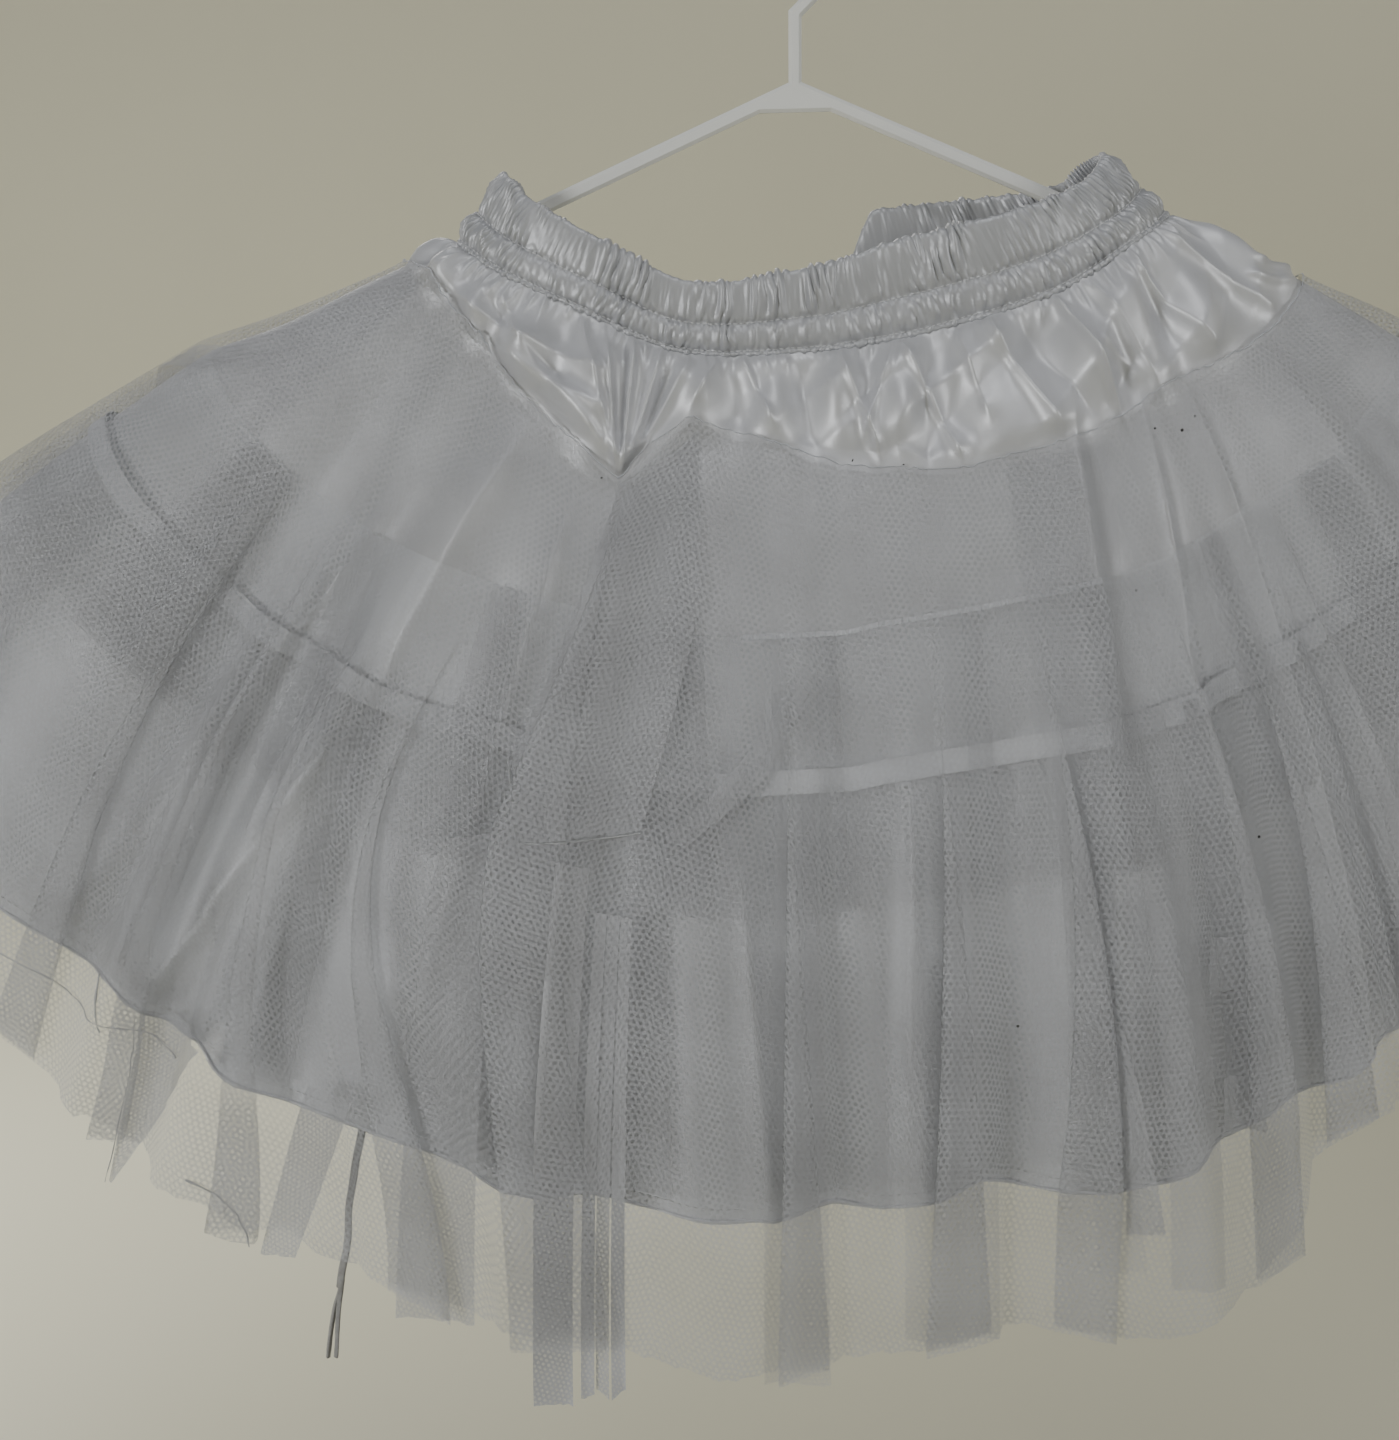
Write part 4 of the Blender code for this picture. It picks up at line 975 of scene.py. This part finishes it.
def makeTape(name, middle, half, gapColumn, extra, paintedLight, ends=None):
    closed = ends is None
    around = np.linspace(*(ends or (-180.0, 180.0)), tapeWork["samples"], endpoint=not closed)[None, :]
    share = np.linspace(-1.0, 1.0, 5)[:, None]
    length = middle + half * share + 0 * around + 0.0012 * lineNoise(around * 0.13, 62)
    around = np.broadcast_to(around, length.shape)
    gap = tableValue(gapTable, gapColumn, length) + extra
    gap = gap + 0.0003 * latticeNoise(around * 1.7, length * 90.0, 61)
    points = tullePoint(around, length, gap)
    places, paintedLitShare = zip(*paintedLight)
    mesh = sheetMesh(name, points, closed, np.interp(around, places, paintedLitShare, period=360.0))
    mesh.materials.append(tapeWeave)
    return addPiece(name, mesh)


tape = makeTape("tierTape", skirt["tape"] + 0.002, 0.0046, 1, 0.0006, tapePaintedLight)
upperBinding = makeTape("yokeBinding", skirt["yokeEnd"] + 0.0005, 0.001, 2, 0.0007, bindingPaintedLight,
                        (-12.0, 34.0))
print("tiers made")


outerWork = {"rows": 72, "openStep": 0.7, "between": 4, "ripple": 0.0016, "ragged": 0.0016}
softCreases = [  # around at the hem, half wide in degrees, height, length where it begins and ends
    (-84, 1.6, 0.0022, 0.1, 0.39), (-78, 1.2, -0.0018, 0.14, 0.39), (-66, 1.4, 0.0026, 0.09, 0.39),
    (-56, 1.3, -0.002, 0.12, 0.36), (-53, 1, 0.0022, 0.2, 0.39), (-43, 1.1, 0.0024, 0.1, 0.3),
    (-34, 0.9, -0.0018, 0.16, 0.39), (-20, 1.3, 0.0026, 0.07, 0.3), (-16, 1.1, -0.002, 0.12, 0.39),
    (-11, 1, 0.002, 0.18, 0.39), (0, 1.4, 0.0016, 0.2, 0.39), (5, 1, -0.0014, 0.24, 0.39),
    (19, 1.2, 0.0018, 0.1, 0.34), (30, 0.9, 0.0026, 0.08, 0.39), (34.5, 0.8, -0.002, 0.1, 0.39),
    (44.5, 0.9, 0.0024, 0.09, 0.36), (55, 1.2, 0.0022, 0.12, 0.39), (58, 0.8, -0.0016, 0.2, 0.39),
    (67, 1.1, 0.0024, 0.12, 0.39), (71, 0.9, -0.0018, 0.16, 0.39), (82, 1.6, 0.0024, 0.12, 0.39),
    (96, 1.8, 0.0024, 0.12, 0.39), (104, 1.4, -0.0018, 0.16, 0.39), (113, 1.6, 0.0022, 0.1, 0.39),
    (138, 1.5, 0.0022, 0.12, 0.39), (150, 1.4, -0.0018, 0.18, 0.39), (171, 1.5, 0.0024, 0.12, 0.39),
    (181, 1.3, -0.0018, 0.2, 0.39), (203, 1.4, 0.0022, 0.1, 0.36), (216, 1.5, -0.0018, 0.16, 0.39),
    (238, 1.5, 0.0024, 0.12, 0.39), (252, 1.8, 0.002, 0.14, 0.39), (262, 1.6, -0.0018, 0.12, 0.39),
]


pleatTable = [  # around, width at the hem, which edge is on top, begins, upright, full, extra drop
    (-72, 0.03, 1, 0.088, 0.166, 0.38, 0), (-61.5, 0.012, -1, 0.088, 0.166, 0.38, 0.004),
    (-47.5, 0.018, -1, 0.088, 0.166, 0.38, 0.008), (-38, 0.026, 1, 0.088, 0.166, 0.38, 0.004),
    (-28, 0.036, -1, 0.06, 0.087, 0.2, 0.004), (-6, 0.02, -1, 0.088, 0.166, 0.38, 0.004),
    (14, 0.026, -1, 0.088, 0.166, 0.38, 0), (26, 0.018, 1, 0.088, 0.166, 0.33, 0),
    (40, 0.026, 1, 0.088, 0.166, 0.33, 0.004), (49, 0.028, -1, 0.088, 0.166, 0.38, 0),
    (62, 0.03, 1, 0.088, 0.166, 0.38, 0.006), (76, 0.026, -1, 0.088, 0.166, 0.38, 0),
    (130, 0.034, 1, 0.088, 0.166, 0.38, 0.004), (163, 0.032, -1, 0.088, 0.166, 0.38, 0),
    (194, 0.036, 1, 0.088, 0.166, 0.38, 0.006), (229, 0.03, -1, 0.088, 0.166, 0.38, 0.004),
]
pleatLevels = (0.0054, 0.0054, 0.0034, 0.002, 0.0, 0.0)


def pleatHalf(pleat):
    hem = gorePoint(pleat[0] + 0.5, skirt["tulleEnd"]) - gorePoint(pleat[0] - 0.5, skirt["tulleEnd"])
    return pleat[1] / 2 / float(np.linalg.norm(hem))


def outerRelief(around, length):
    height = 0.0
    for middle, wide, tall, begins, ends in softCreases:
        away = wrapAway(around, middle) / wide
        grown = ease((length - begins) / 0.08) * (1 - 0.6 * ease((length - ends + 0.05) / 0.06))
        height = height + tall * np.exp(-away ** 2) * grown
    loose = ease((length - 0.07) / 0.12)
    broad = latticeNoise(around * 0.22, length * 7.0, 71)
    fine = latticeNoise(around * 0.9, length * 11.0 + around * 0.1, 72)
    return height + outerWork["ripple"] * loose * (broad + fine * 0.4)


# points on the outer tulle, moved out from it by what is given
def outerPoint(around, length, *out):
    height = outerGap(around, length) + outerRelief(around, length)
    for more in out:
        height = height + more
    return tullePoint(around, length, height)


def makeOuter():
    step = skirt["pleatStep"]
    spans = []
    for pleat in pleatTable:
        half = pleatHalf(pleat)
        reach = max(half + step, 2.5 * step)
        spans.append((pleat[0] - reach, pleat[0] + reach, pleat, half))
    spans.sort(key=lambda span: span[0])
    columns = []   # around, pleat, half width, crease
    for k, (start, stop, pleat, half) in enumerate(spans):
        for i in range(5 * outerWork["between"] + 1):
            crease = i / outerWork["between"]
            columns.append(((start + stop) / 2 + (crease - 2.5) * step, pleat, half, crease))
        gap = (spans[(k + 1) % len(spans)][0] - stop) % 360.0
        count = max(1, round(gap / outerWork["openStep"]))
        columns += [(stop + gap * i / count, None, 0.0, 0.0) for i in range(1, count)]
    places = np.array([column[0] for column in columns])
    drop = np.array([np.interp(column[3], (0, 1, 4, 5), (0, 1, 1, 0)) * column[1][6] if column[1] else 0.0
                     for column in columns])
    ragged = lineNoise(places * 1.3, 81) + 0.5 * lineNoise(places * 3.7, 82)
    hem = skirt["tulleEnd"] + fall(places, 5) + drop + outerWork["ragged"] * ragged
    seam = seamAt(places) + 0.0007 * lineNoise(places * 1.1, 83)
    share = np.linspace(0.0, 1.0, outerWork["rows"])
    length = mix(seam[None, :], hem[None, :], share[:, None])
    points = np.zeros((len(share), len(columns), 3))
    c = 0
    while c < len(columns):
        around, pleat, half, crease = columns[c]
        last = c
        while last + 1 < len(columns) and (columns[last + 1][1] is pleat):
            last += 1
        cut = slice(c, last + 1)
        down = length[:, cut]
        if pleat is None:
            at = swung(places[None, cut], down)
            points[:, cut] = outerPoint(at, down)
        else:
            creases = np.array([column[3] for column in columns[cut]])[None, :]
            middle = swung(pleat[0], down)
            closed = np.interp(creases, range(6), (-half - step, half, half, -half, -half, half + step))
            levels = pleatLevels if pleat[2] > 0 else pleatLevels[::-1]
            level = np.interp(creases, range(6), levels)
            upright = (step / 2 + skirt["pleatTurn"]) / (half + step / 2)
            early = upright * between(down, pleat[3], pleat[4])
            late = mix(upright, 1.0, between(down, pleat[4], pleat[5]))
            grown = np.where(down < pleat[4], early, late)
            reach = mix(2.5 * step, half + step, grown)
            portion = (mix((creases - 2.5) * step, closed, grown) / reach + 1) / 2
            edges = [outerPoint(at, down) for at in (middle - reach, middle + reach)]
            lift = goreNormal(middle, down) * (level * np.clip(grown / upright, 0, 1))[..., None]
            points[:, cut] = mix(edges[0], edges[1], portion[..., None]) + lift
        c = last + 1
    dense = 1.0 + 0.12 * latticeNoise(places[None, :] * 0.4, length * 8.0, 84)
    dense = dense * thinned(places[None, :], length)
    centres = [c for c, column in enumerate(columns) if column[1] and column[3] == 2.5]
    ends = np.array([-centres[0]] + centres + [2 * len(columns) - centres[-1]])
    panel = np.searchsorted(centres, np.arange(len(columns)), side="right")
    middles = (ends[panel] + ends[panel + 1]) // 2
    made = makeCloth("outerTulle", points, net, "tulle_over", dense, middles)
    return (*made, points[0], places)


outerTulle, outerArea, outerSeam, outerPlaces = makeOuter()
seamLine = outerSeam + goreNormal(outerPlaces, seamAt(outerPlaces)) * 0.0003
seamRoll = rollLine("tulleSeam", seamLine, True, edgeThread, "satin", Radius=0.0002, Unevenness=0.9)
print("outer tulle made:", len(outerTulle.data.polygons), "faces,", round(outerArea, 3), "square metres")


# doubled cloth: edges folded back, and the narrow strips that hang below the hem. Each is given by
# its left and right edges, as around and length pairs from the top down, and how far under the tulle
doubledCloth = {
    "frontFlap": ([(-29, 0.06), (-32.5, 0.116), (-36.5, 0.175), (-34.5, 0.202)],
                  [(-18.5, 0.032), (-17.2, 0.099), (-20.5, 0.15), (-22.8, 0.187)], 0.0012, 2.3),
    "flapTurn": ([(-4.8, 0.13), (-12, 0.16), (-20, 0.188)],
                 [(-3.6, 0.136), (-9, 0.166), (-18.4, 0.192)], 0.0008, 2),
    "squareHigh": ([(37, 0.251), (35.8, 0.268)], [(43, 0.262), (41.5, 0.281)], 0.0012, 1.6),
    "squareLow": ([(36, 0.3), (35.2, 0.318)], [(40.8, 0.314), (40.2, 0.334)], 0.0012, 2),
    "spike": ([(-62, 0.326), (-61.2, 0.404)], [(-52.2, 0.322), (-60.9, 0.404)], 0.0012, 2.1),
    "stripOne": ([(-45.2, 0.32), (-46.2, 0.394)], [(-42.6, 0.318), (-44.4, 0.389)], 0.0014, 2.2),
    "stripThree": ([(-40.2, 0.21), (-40, 0.3), (-39.6, 0.396)],
                   [(-36, 0.2), (-35.6, 0.29), (-35, 0.385)], 0.0014, 2),
    "stripFour": ([(-30.4, 0.205), (-30.2, 0.3), (-29.9, 0.413)],
                  [(-27.4, 0.205), (-27.1, 0.3), (-26.9, 0.412)], 0.0014, 3),
    "stripFive": ([(-26.5, 0.22), (-26.3, 0.409)], [(-25.5, 0.22), (-25.3, 0.407)], 0.0012, 3.2),
    "stripSix": ([(-25.4, 0.22), (-25.2, 0.406)], [(-24.3, 0.22), (-24.2, 0.409)], 0.0018, 2.5),
    "stripSeven": ([(-24.2, 0.22), (-24, 0.409)], [(-23.2, 0.22), (-22.9, 0.404)], 0.0012, 3.2),
    "panelMiddle": ([(-9.8, 0.23), (-10.2, 0.393)], [(-3, 0.23), (-3, 0.4)], 0.0014, 1),
    "panelFront": ([(7.2, 0.24), (6.5, 0.38)], [(19.6, 0.24), (20, 0.39)], 0.0014, 1),
    "panelEdge": ([(26.6, 0.06), (26, 0.18), (26.4, 0.3), (27.2, 0.362)],
                  [(41, 0.062), (30.8, 0.192), (28.9, 0.3), (29.6, 0.358)], 0.0014, 0.8),
    "edgeTurn": ([(28.3, 0.27), (28.6, 0.344)], [(28.9, 0.27), (30.6, 0.343)], 0.001, 2.2),
    "panelRight": ([(31.4, 0.23), (30.9, 0.365)], [(35.6, 0.23), (34.6, 0.372)], 0.0014, 1.3),
    "sidePiece": ([(-93, 0.13), (-95, 0.162)], [(-84.2, 0.087), (-87.5, 0.12)], 0.0012, 1.5),
    "backStripOne": ([(139, 0.23), (138, 0.398)], [(144, 0.23), (143, 0.394)], 0.0014, 1.6),
    "backStripTwo": ([(172, 0.23), (171, 0.392)], [(176, 0.23), (176, 0.398)], 0.0014, 1.6),
    "backStripThree": ([(206, 0.23), (206, 0.398)], [(212, 0.23), (211, 0.392)], 0.0014, 1.6),
}


doubledWork = {"rows": 40, "columns": 9, "apart": 0.013}   # apart: threads set off from the last piece's


def makeDoubled():
    steps, columns = doubledWork["rows"], doubledWork["columns"]
    numbers = np.arange(steps * columns).reshape(steps, columns)
    down = np.linspace(0.0, 1.0, steps)
    share = np.linspace(0.0, 1.0, columns)[None, :]
    parts = []
    for k, (left, right, under, thick) in enumerate(doubledCloth.values()):
        edges = [[np.interp(down, np.linspace(0.0, 1.0, len(line)), spots) for spots in zip(*line)]
                 for line in (left, right)]
        around, length = (mix(a[:, None], b[:, None], share) for a, b in zip(*edges))
        frayed = latticeNoise(around * 3.0, length * 40.0, 130 + k) * (down[:, None] > 0.9)
        length = length + 0.0008 * frayed
        loose = latticeNoise(around * 2.2, length * 30.0, 160 + k)
        grid = outerPoint(around, length, -under, 0.0005 * loose)
        across, along = clothMeasures(grid, False)
        parts.append((grid.reshape(-1, 3), faceCorners(numbers + k * numbers.size),
                      faceCorners(across) + doubledWork["apart"] * k, faceCorners(along),
                      np.full(numbers.size, thick)))
    points, faces, u, v, dense = (np.concatenate(part) for part in zip(*parts))
    mesh = clothMesh("tulleDoubled", points, faces, u, v, dense=dense)
    mesh.shade_smooth()
    mesh.materials.append(doubledNet)
    return addPiece("tulleDoubled", mesh)


tulleDoubled = makeDoubled()
print("doubled cloth made")


stripWork = {"around": -43.0, "top": 0.27, "end": 0.436, "wide": 0.0052, "endWide": 0.0036,
             "deep": 0.0018, "split": 0.404, "spread": 0.0034, "rings": 34, "corners": 14}


def makeStrip():
    rows, corners = stripWork["rings"], stripWork["corners"]
    numbers = np.arange(rows * corners).reshape(rows, corners)
    sides = faceCorners(closedUp(numbers))[:, (0, 3, 2, 1)]
    turns = np.arange(corners) * 2 * np.pi / corners
    angle = math.radians(stripWork["around"])
    way = np.array((math.cos(angle), math.sin(angle), 0.0))
    inside = -(skirt["wall"] + stripWork["deep"]) / 2 - 2 * skirt["seamGap"]
    points, faces = [], []
    for side, start, stop, thick in ((0, stripWork["top"], stripWork["split"], 1.0),
                                     (-1, stripWork["split"] - 0.004, stripWork["end"], 0.52),
                                     (1, stripWork["split"] - 0.004, stripWork["end"] - 0.003, 0.56)):
        length = np.linspace(start, stop, rows)
        centre = satinPoint(np.full(rows, stripWork["around"]), length, np.full(rows, inside))
        along = unit(np.gradient(centre, axis=0))
        across = unit(way - along * (along @ way)[:, None])
        outward = np.cross(along, across)
        part = ease((length - stripWork["split"]) / 0.03)
        centre = centre + across * (side * (0.0009 + stripWork["spread"] * part / 2))[:, None]
        centre = centre + across * (0.0012 * latticeNoise(length * 60.0, length * 0 + side, 91))[:, None]
        wide = mix(stripWork["wide"], stripWork["endWide"], (length - stripWork["top"])
                   / (stripWork["end"] - stripWork["top"])) / 2 * thick
        groove = 1 + 0.16 * np.sin(turns * 3 + side)[None] + 0.12 * latticeNoise(
            length[:, None] * 160.0, turns[None] * 1.1, 92 + side)
        ring = (across[:, None] * (wide[:, None] * np.cos(turns) * groove)[..., None]
                + outward[:, None] * (stripWork["deep"] / 2 * np.sin(turns) * groove)[..., None])
        for face in (*sides, numbers[0, ::-1], numbers[-1]):
            faces.append((face + len(points)).tolist())
        points += (centre[:, None] + ring).reshape(-1, 3).tolist()
    mesh = bpy.data.meshes.new("rolledStrip")
    mesh.from_pydata(points, [], faces)
    mesh.shade_smooth()
    mesh.materials.append(shadedRolledTulle)
    piece = addPiece("rolledStrip", mesh)
    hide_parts("rolled_strip")
    return piece


rolledStrip = makeStrip()

curls = {  # around and length along each curled edge of the tulle, radius, how far out
    "curlSide": ([(-77, 0.344), (-72, 0.341), (-65, 0.336), (-60, 0.334), (-56.5, 0.337)],
                 0.00026, 0.0012),
    "curlKnot": ([(-66.6, 0.318), (-66, 0.326), (-65.4, 0.333), (-64.6, 0.339)], 0.0004, 0.0006),
    "curlSpike": ([(-62.2, 0.33), (-61.6, 0.352), (-61.2, 0.404)], 0.00022, 0.0006),
    "curlHem": ([(-50.5, 0.371), (-48.8, 0.374), (-47.4, 0.38), (-46.6, 0.392)], 0.00035, 0.001),
    "curlFlap": ([(-36.6, 0.176), (-34.6, 0.203), (-29, 0.196), (-22.8, 0.188)], 0.00022, 0.0008),
    "curlBack": ([(150, 0.372), (154, 0.38), (158, 0.376)], 0.0004, 0.001),
}


def makeCurls():
    made = []
    for k, (name, (spots, radius, out)) in enumerate(curls.items()):
        knots = np.linspace(0.0, 1.0, len(spots))
        t = np.linspace(0.0, 1.0, 12 * len(spots))
        around = np.interp(t, knots, [spot[0] for spot in spots])
        length = np.interp(t, knots, [spot[1] for spot in spots])
        around = around + 0.12 * lineNoise(t * 7.0, 201 + k)
        made.append(rollLine(name, outerPoint(around, length, out), False, curledNet, "tulle",
                             Radius=radius, Unevenness=0.7))
    return made


tulleCurls = makeCurls()


# dark specks of lint: a small uneven grain on every spot
def lintTree():
    tree, given = newTree("lintSpecks", lintSizes)
    spots = addNode(tree, "GeometryNodeMeshToPoints", {0: given["Geometry"]})
    grain = addNode(tree, "GeometryNodeMeshIcoSphere", {"Radius": 0.5})
    size, turn = (addNode(tree, "FunctionNodeRandomValue", {
        "Min": (low,) * 3, "Max": (high,) * 3, "Seed": given["Seed"]}, data_type="FLOAT_VECTOR")
        for low, high in ((0.5, 1.3), (0.0, 6.28)))
    scale = addNode(tree, "ShaderNodeVectorMath", {0: size, "Scale": given["Grain"]}, operation="SCALE")
    place = addNode(tree, "GeometryNodeInstanceOnPoints", {
        "Points": spots, "Instance": grain, "Rotation": turn, "Scale": scale})
    return finishTree(tree, given, place)


lintSizes = {"Grain": 0.0011, "Seed": 5}
lintSpots = [(-31.6, 0.06), (4.2, 0.047), (12.0, 0.052), (48.0, 0.066), (52.6, 0.072), (56.0, 0.07),
             (22.0, 0.268), (44.0, 0.222), (38.0, 0.12), (-8.0, 0.3), (160.0, 0.12), (205.0, 0.21)]


def makeLint():
    around, length = np.array(lintSpots).T
    spots = lineMesh("lint.spots", outerPoint(around, length, 0.0003), False)
    return addPiece("lintSpecks", growTree("lintSpecks", spots, lintTree(), lintSizes, lint))


lintSpecks = makeLint()
print("curls and lint made")

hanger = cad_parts["hanger"]
hanger.data.materials.clear()
hanger.data.materials.append(plastic)


def declare(piece, area, length):
    print(piece.name, "cut to", round(area / length, 3), "x", length)


declare(yokeSatin, yokeArea, 0.112)
declare(liningSatin, liningArea, 0.222)
declare(upperTier, upperArea, 0.106)
declare(lowerTier, lowerArea, 0.159)
declare(outerTulle, outerArea, 0.343)
print("cloth declared")


studio = {
    "floorHeight": -1.25,
    "floorRadius": 2.1,
    "rise": 1.1,       # radius of the curve where the floor turns up
    "wallHeight": 2.3,
    "sides": 96, "riseSteps": 16,
    "colour": (0.76, 0.735, 0.57),
    "worldColour": (0.88, 0.91, 1.0),
    "worldStrength": 0.15,
}


def makeFloor():
    radius, rise, low = studio["floorRadius"], studio["rise"], studio["floorHeight"]
    profile = [(radius * k / 6, low) for k in range(1, 7)]
    for k in range(1, studio["riseSteps"] + 1):
        turn = math.pi / 2 * k / studio["riseSteps"]
        profile.append((radius + rise * math.sin(turn), low + rise * (1 - math.cos(turn))))
    profile.append((radius + rise, studio["wallHeight"]))
    count = studio["sides"]
    points = [(r * math.cos(math.tau * k / count), r * math.sin(math.tau * k / count), z)
              for r, z in profile for k in range(count)]
    numbers = closedUp(np.arange(len(points)).reshape(-1, count))
    mesh = bpy.data.meshes.new("floor")
    mesh.from_pydata(points, [], [tuple(range(count))] + faceCorners(numbers)[:, (1, 2, 3, 0)].tolist())
    mesh.shade_smooth()
    material, tree, shader = plainShader("floorPaint")
    dark, light = (tuple(part * share for part in studio["colour"]) for share in (0.985, 1.015))
    twoTones(tree, shader, objectPlace(tree), 3.0, dark, light, 0.0)
    feed(tree, shader, {"Roughness": 0.9})
    mesh.materials.append(material)
    floor = bpy.data.objects.new("floor", mesh)
    bpy.context.scene.collection.objects.link(floor)
    floor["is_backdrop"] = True


lamps = [  # name, place, aim, size, power, colour
    ("key", (-1.6, -1.5, 0.0), (0.0, 0.0, -0.35), 0.7, 17.5, (0.97, 0.985, 1.0)),
    ("top", (0.1, -1.0, 1.5), (0.0, 0.0, -0.3), 0.6, 7.4, (0.97, 0.985, 1.0)),
    ("fill", (1.35, -0.95, 0.1), (0.3, 0.0, -0.35), 0.7, 6.2, (0.97, 0.985, 1.0)),
    ("back", (-0.7, 1.6, 1.0), (0.0, 0.0, -0.2), 1.0, 10.0, (1.0, 0.98, 0.95)),
    ("washFloor", (-1.6, 0.6, -0.45), (-0.85, 0.8, -1.25), 0.6, 9.0, (1.0, 0.99, 0.96)),
    ("washWall", (-1.0, 0.9, 0.1), (-0.9, 3.0, -0.5), 0.8, 9.5, (1.0, 0.99, 0.96)),
    ("washHigh", (0.8, 1.0, 1.7), (0.7, 3.2, 0.9), 1.0, 10.5, (1.0, 0.99, 0.96)),
]


def aimed(place, aim):
    return (Vector(aim) - Vector(place)).to_track_quat("-Z", "Y")


def makeLights():
    for name, place, aim, size, power, colour in lamps:
        light = bpy.data.lights.new(name, "AREA")
        light.shape = "DISK"
        light.size = size
        light.energy = power
        light.color = colour
        lamp = bpy.data.objects.new(name, light)
        lamp.location = place
        lamp.rotation_mode = "QUATERNION"
        lamp.rotation_quaternion = aimed(place, aim)
        lamp.visible_camera = False
        bpy.context.scene.collection.objects.link(lamp)
    world = bpy.data.worlds.new("studioAir")
    bpy.context.scene.world = world
    world.use_nodes = True
    back = world.node_tree.nodes["Background"]
    back.inputs["Color"].default_value = (*studio["worldColour"], 1.0)
    back.inputs["Strength"].default_value = studio["worldStrength"]


view = {
    "place": (-0.0435, -0.6, -0.1584),
    "pitch": 17.0,   # degrees below level
    "roll": 1.35,
    "lens": 35.0, "sensor": 36.0,
}


def makeCamera():
    pitch, roll = math.radians(view["pitch"]), math.radians(view["roll"])
    forward = Vector((0.0, math.cos(pitch), -math.sin(pitch)))
    right = Vector((1.0, 0.0, 0.0))
    up = right.cross(forward)
    right, up = right * math.cos(roll) - up * math.sin(roll), right * math.sin(roll) + up * math.cos(roll)
    data = bpy.data.cameras.new("camera")
    data.sensor_fit = "AUTO"
    data.sensor_width = view["sensor"]
    data.lens = view["lens"]
    data.clip_start, data.clip_end = 0.02, 30.0
    camera = bpy.data.objects.new("camera", data)
    turn = Matrix((right, up, -forward)).transposed().to_4x4()
    turn.translation = Vector(view["place"])
    camera.matrix_world = turn
    bpy.context.scene.collection.objects.link(camera)
    bpy.context.scene.camera = camera


makeFloor()
makeLights()
makeCamera()
if hasattr(bpy.context.scene, "cycles"):
    bpy.context.scene.cycles.transparent_max_bounces = 24   # the net lies many layers deep
    bpy.context.scene.cycles.diffuse_bounces = 1
    bpy.context.scene.cycles.glossy_bounces = 1
    bpy.context.scene.cycles.use_light_tree = False   # seven lamps are few enough without it

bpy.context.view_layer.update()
total = sum(len(p.data.polygons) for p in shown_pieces() if p.type == "MESH")
print("faces in all:", total)
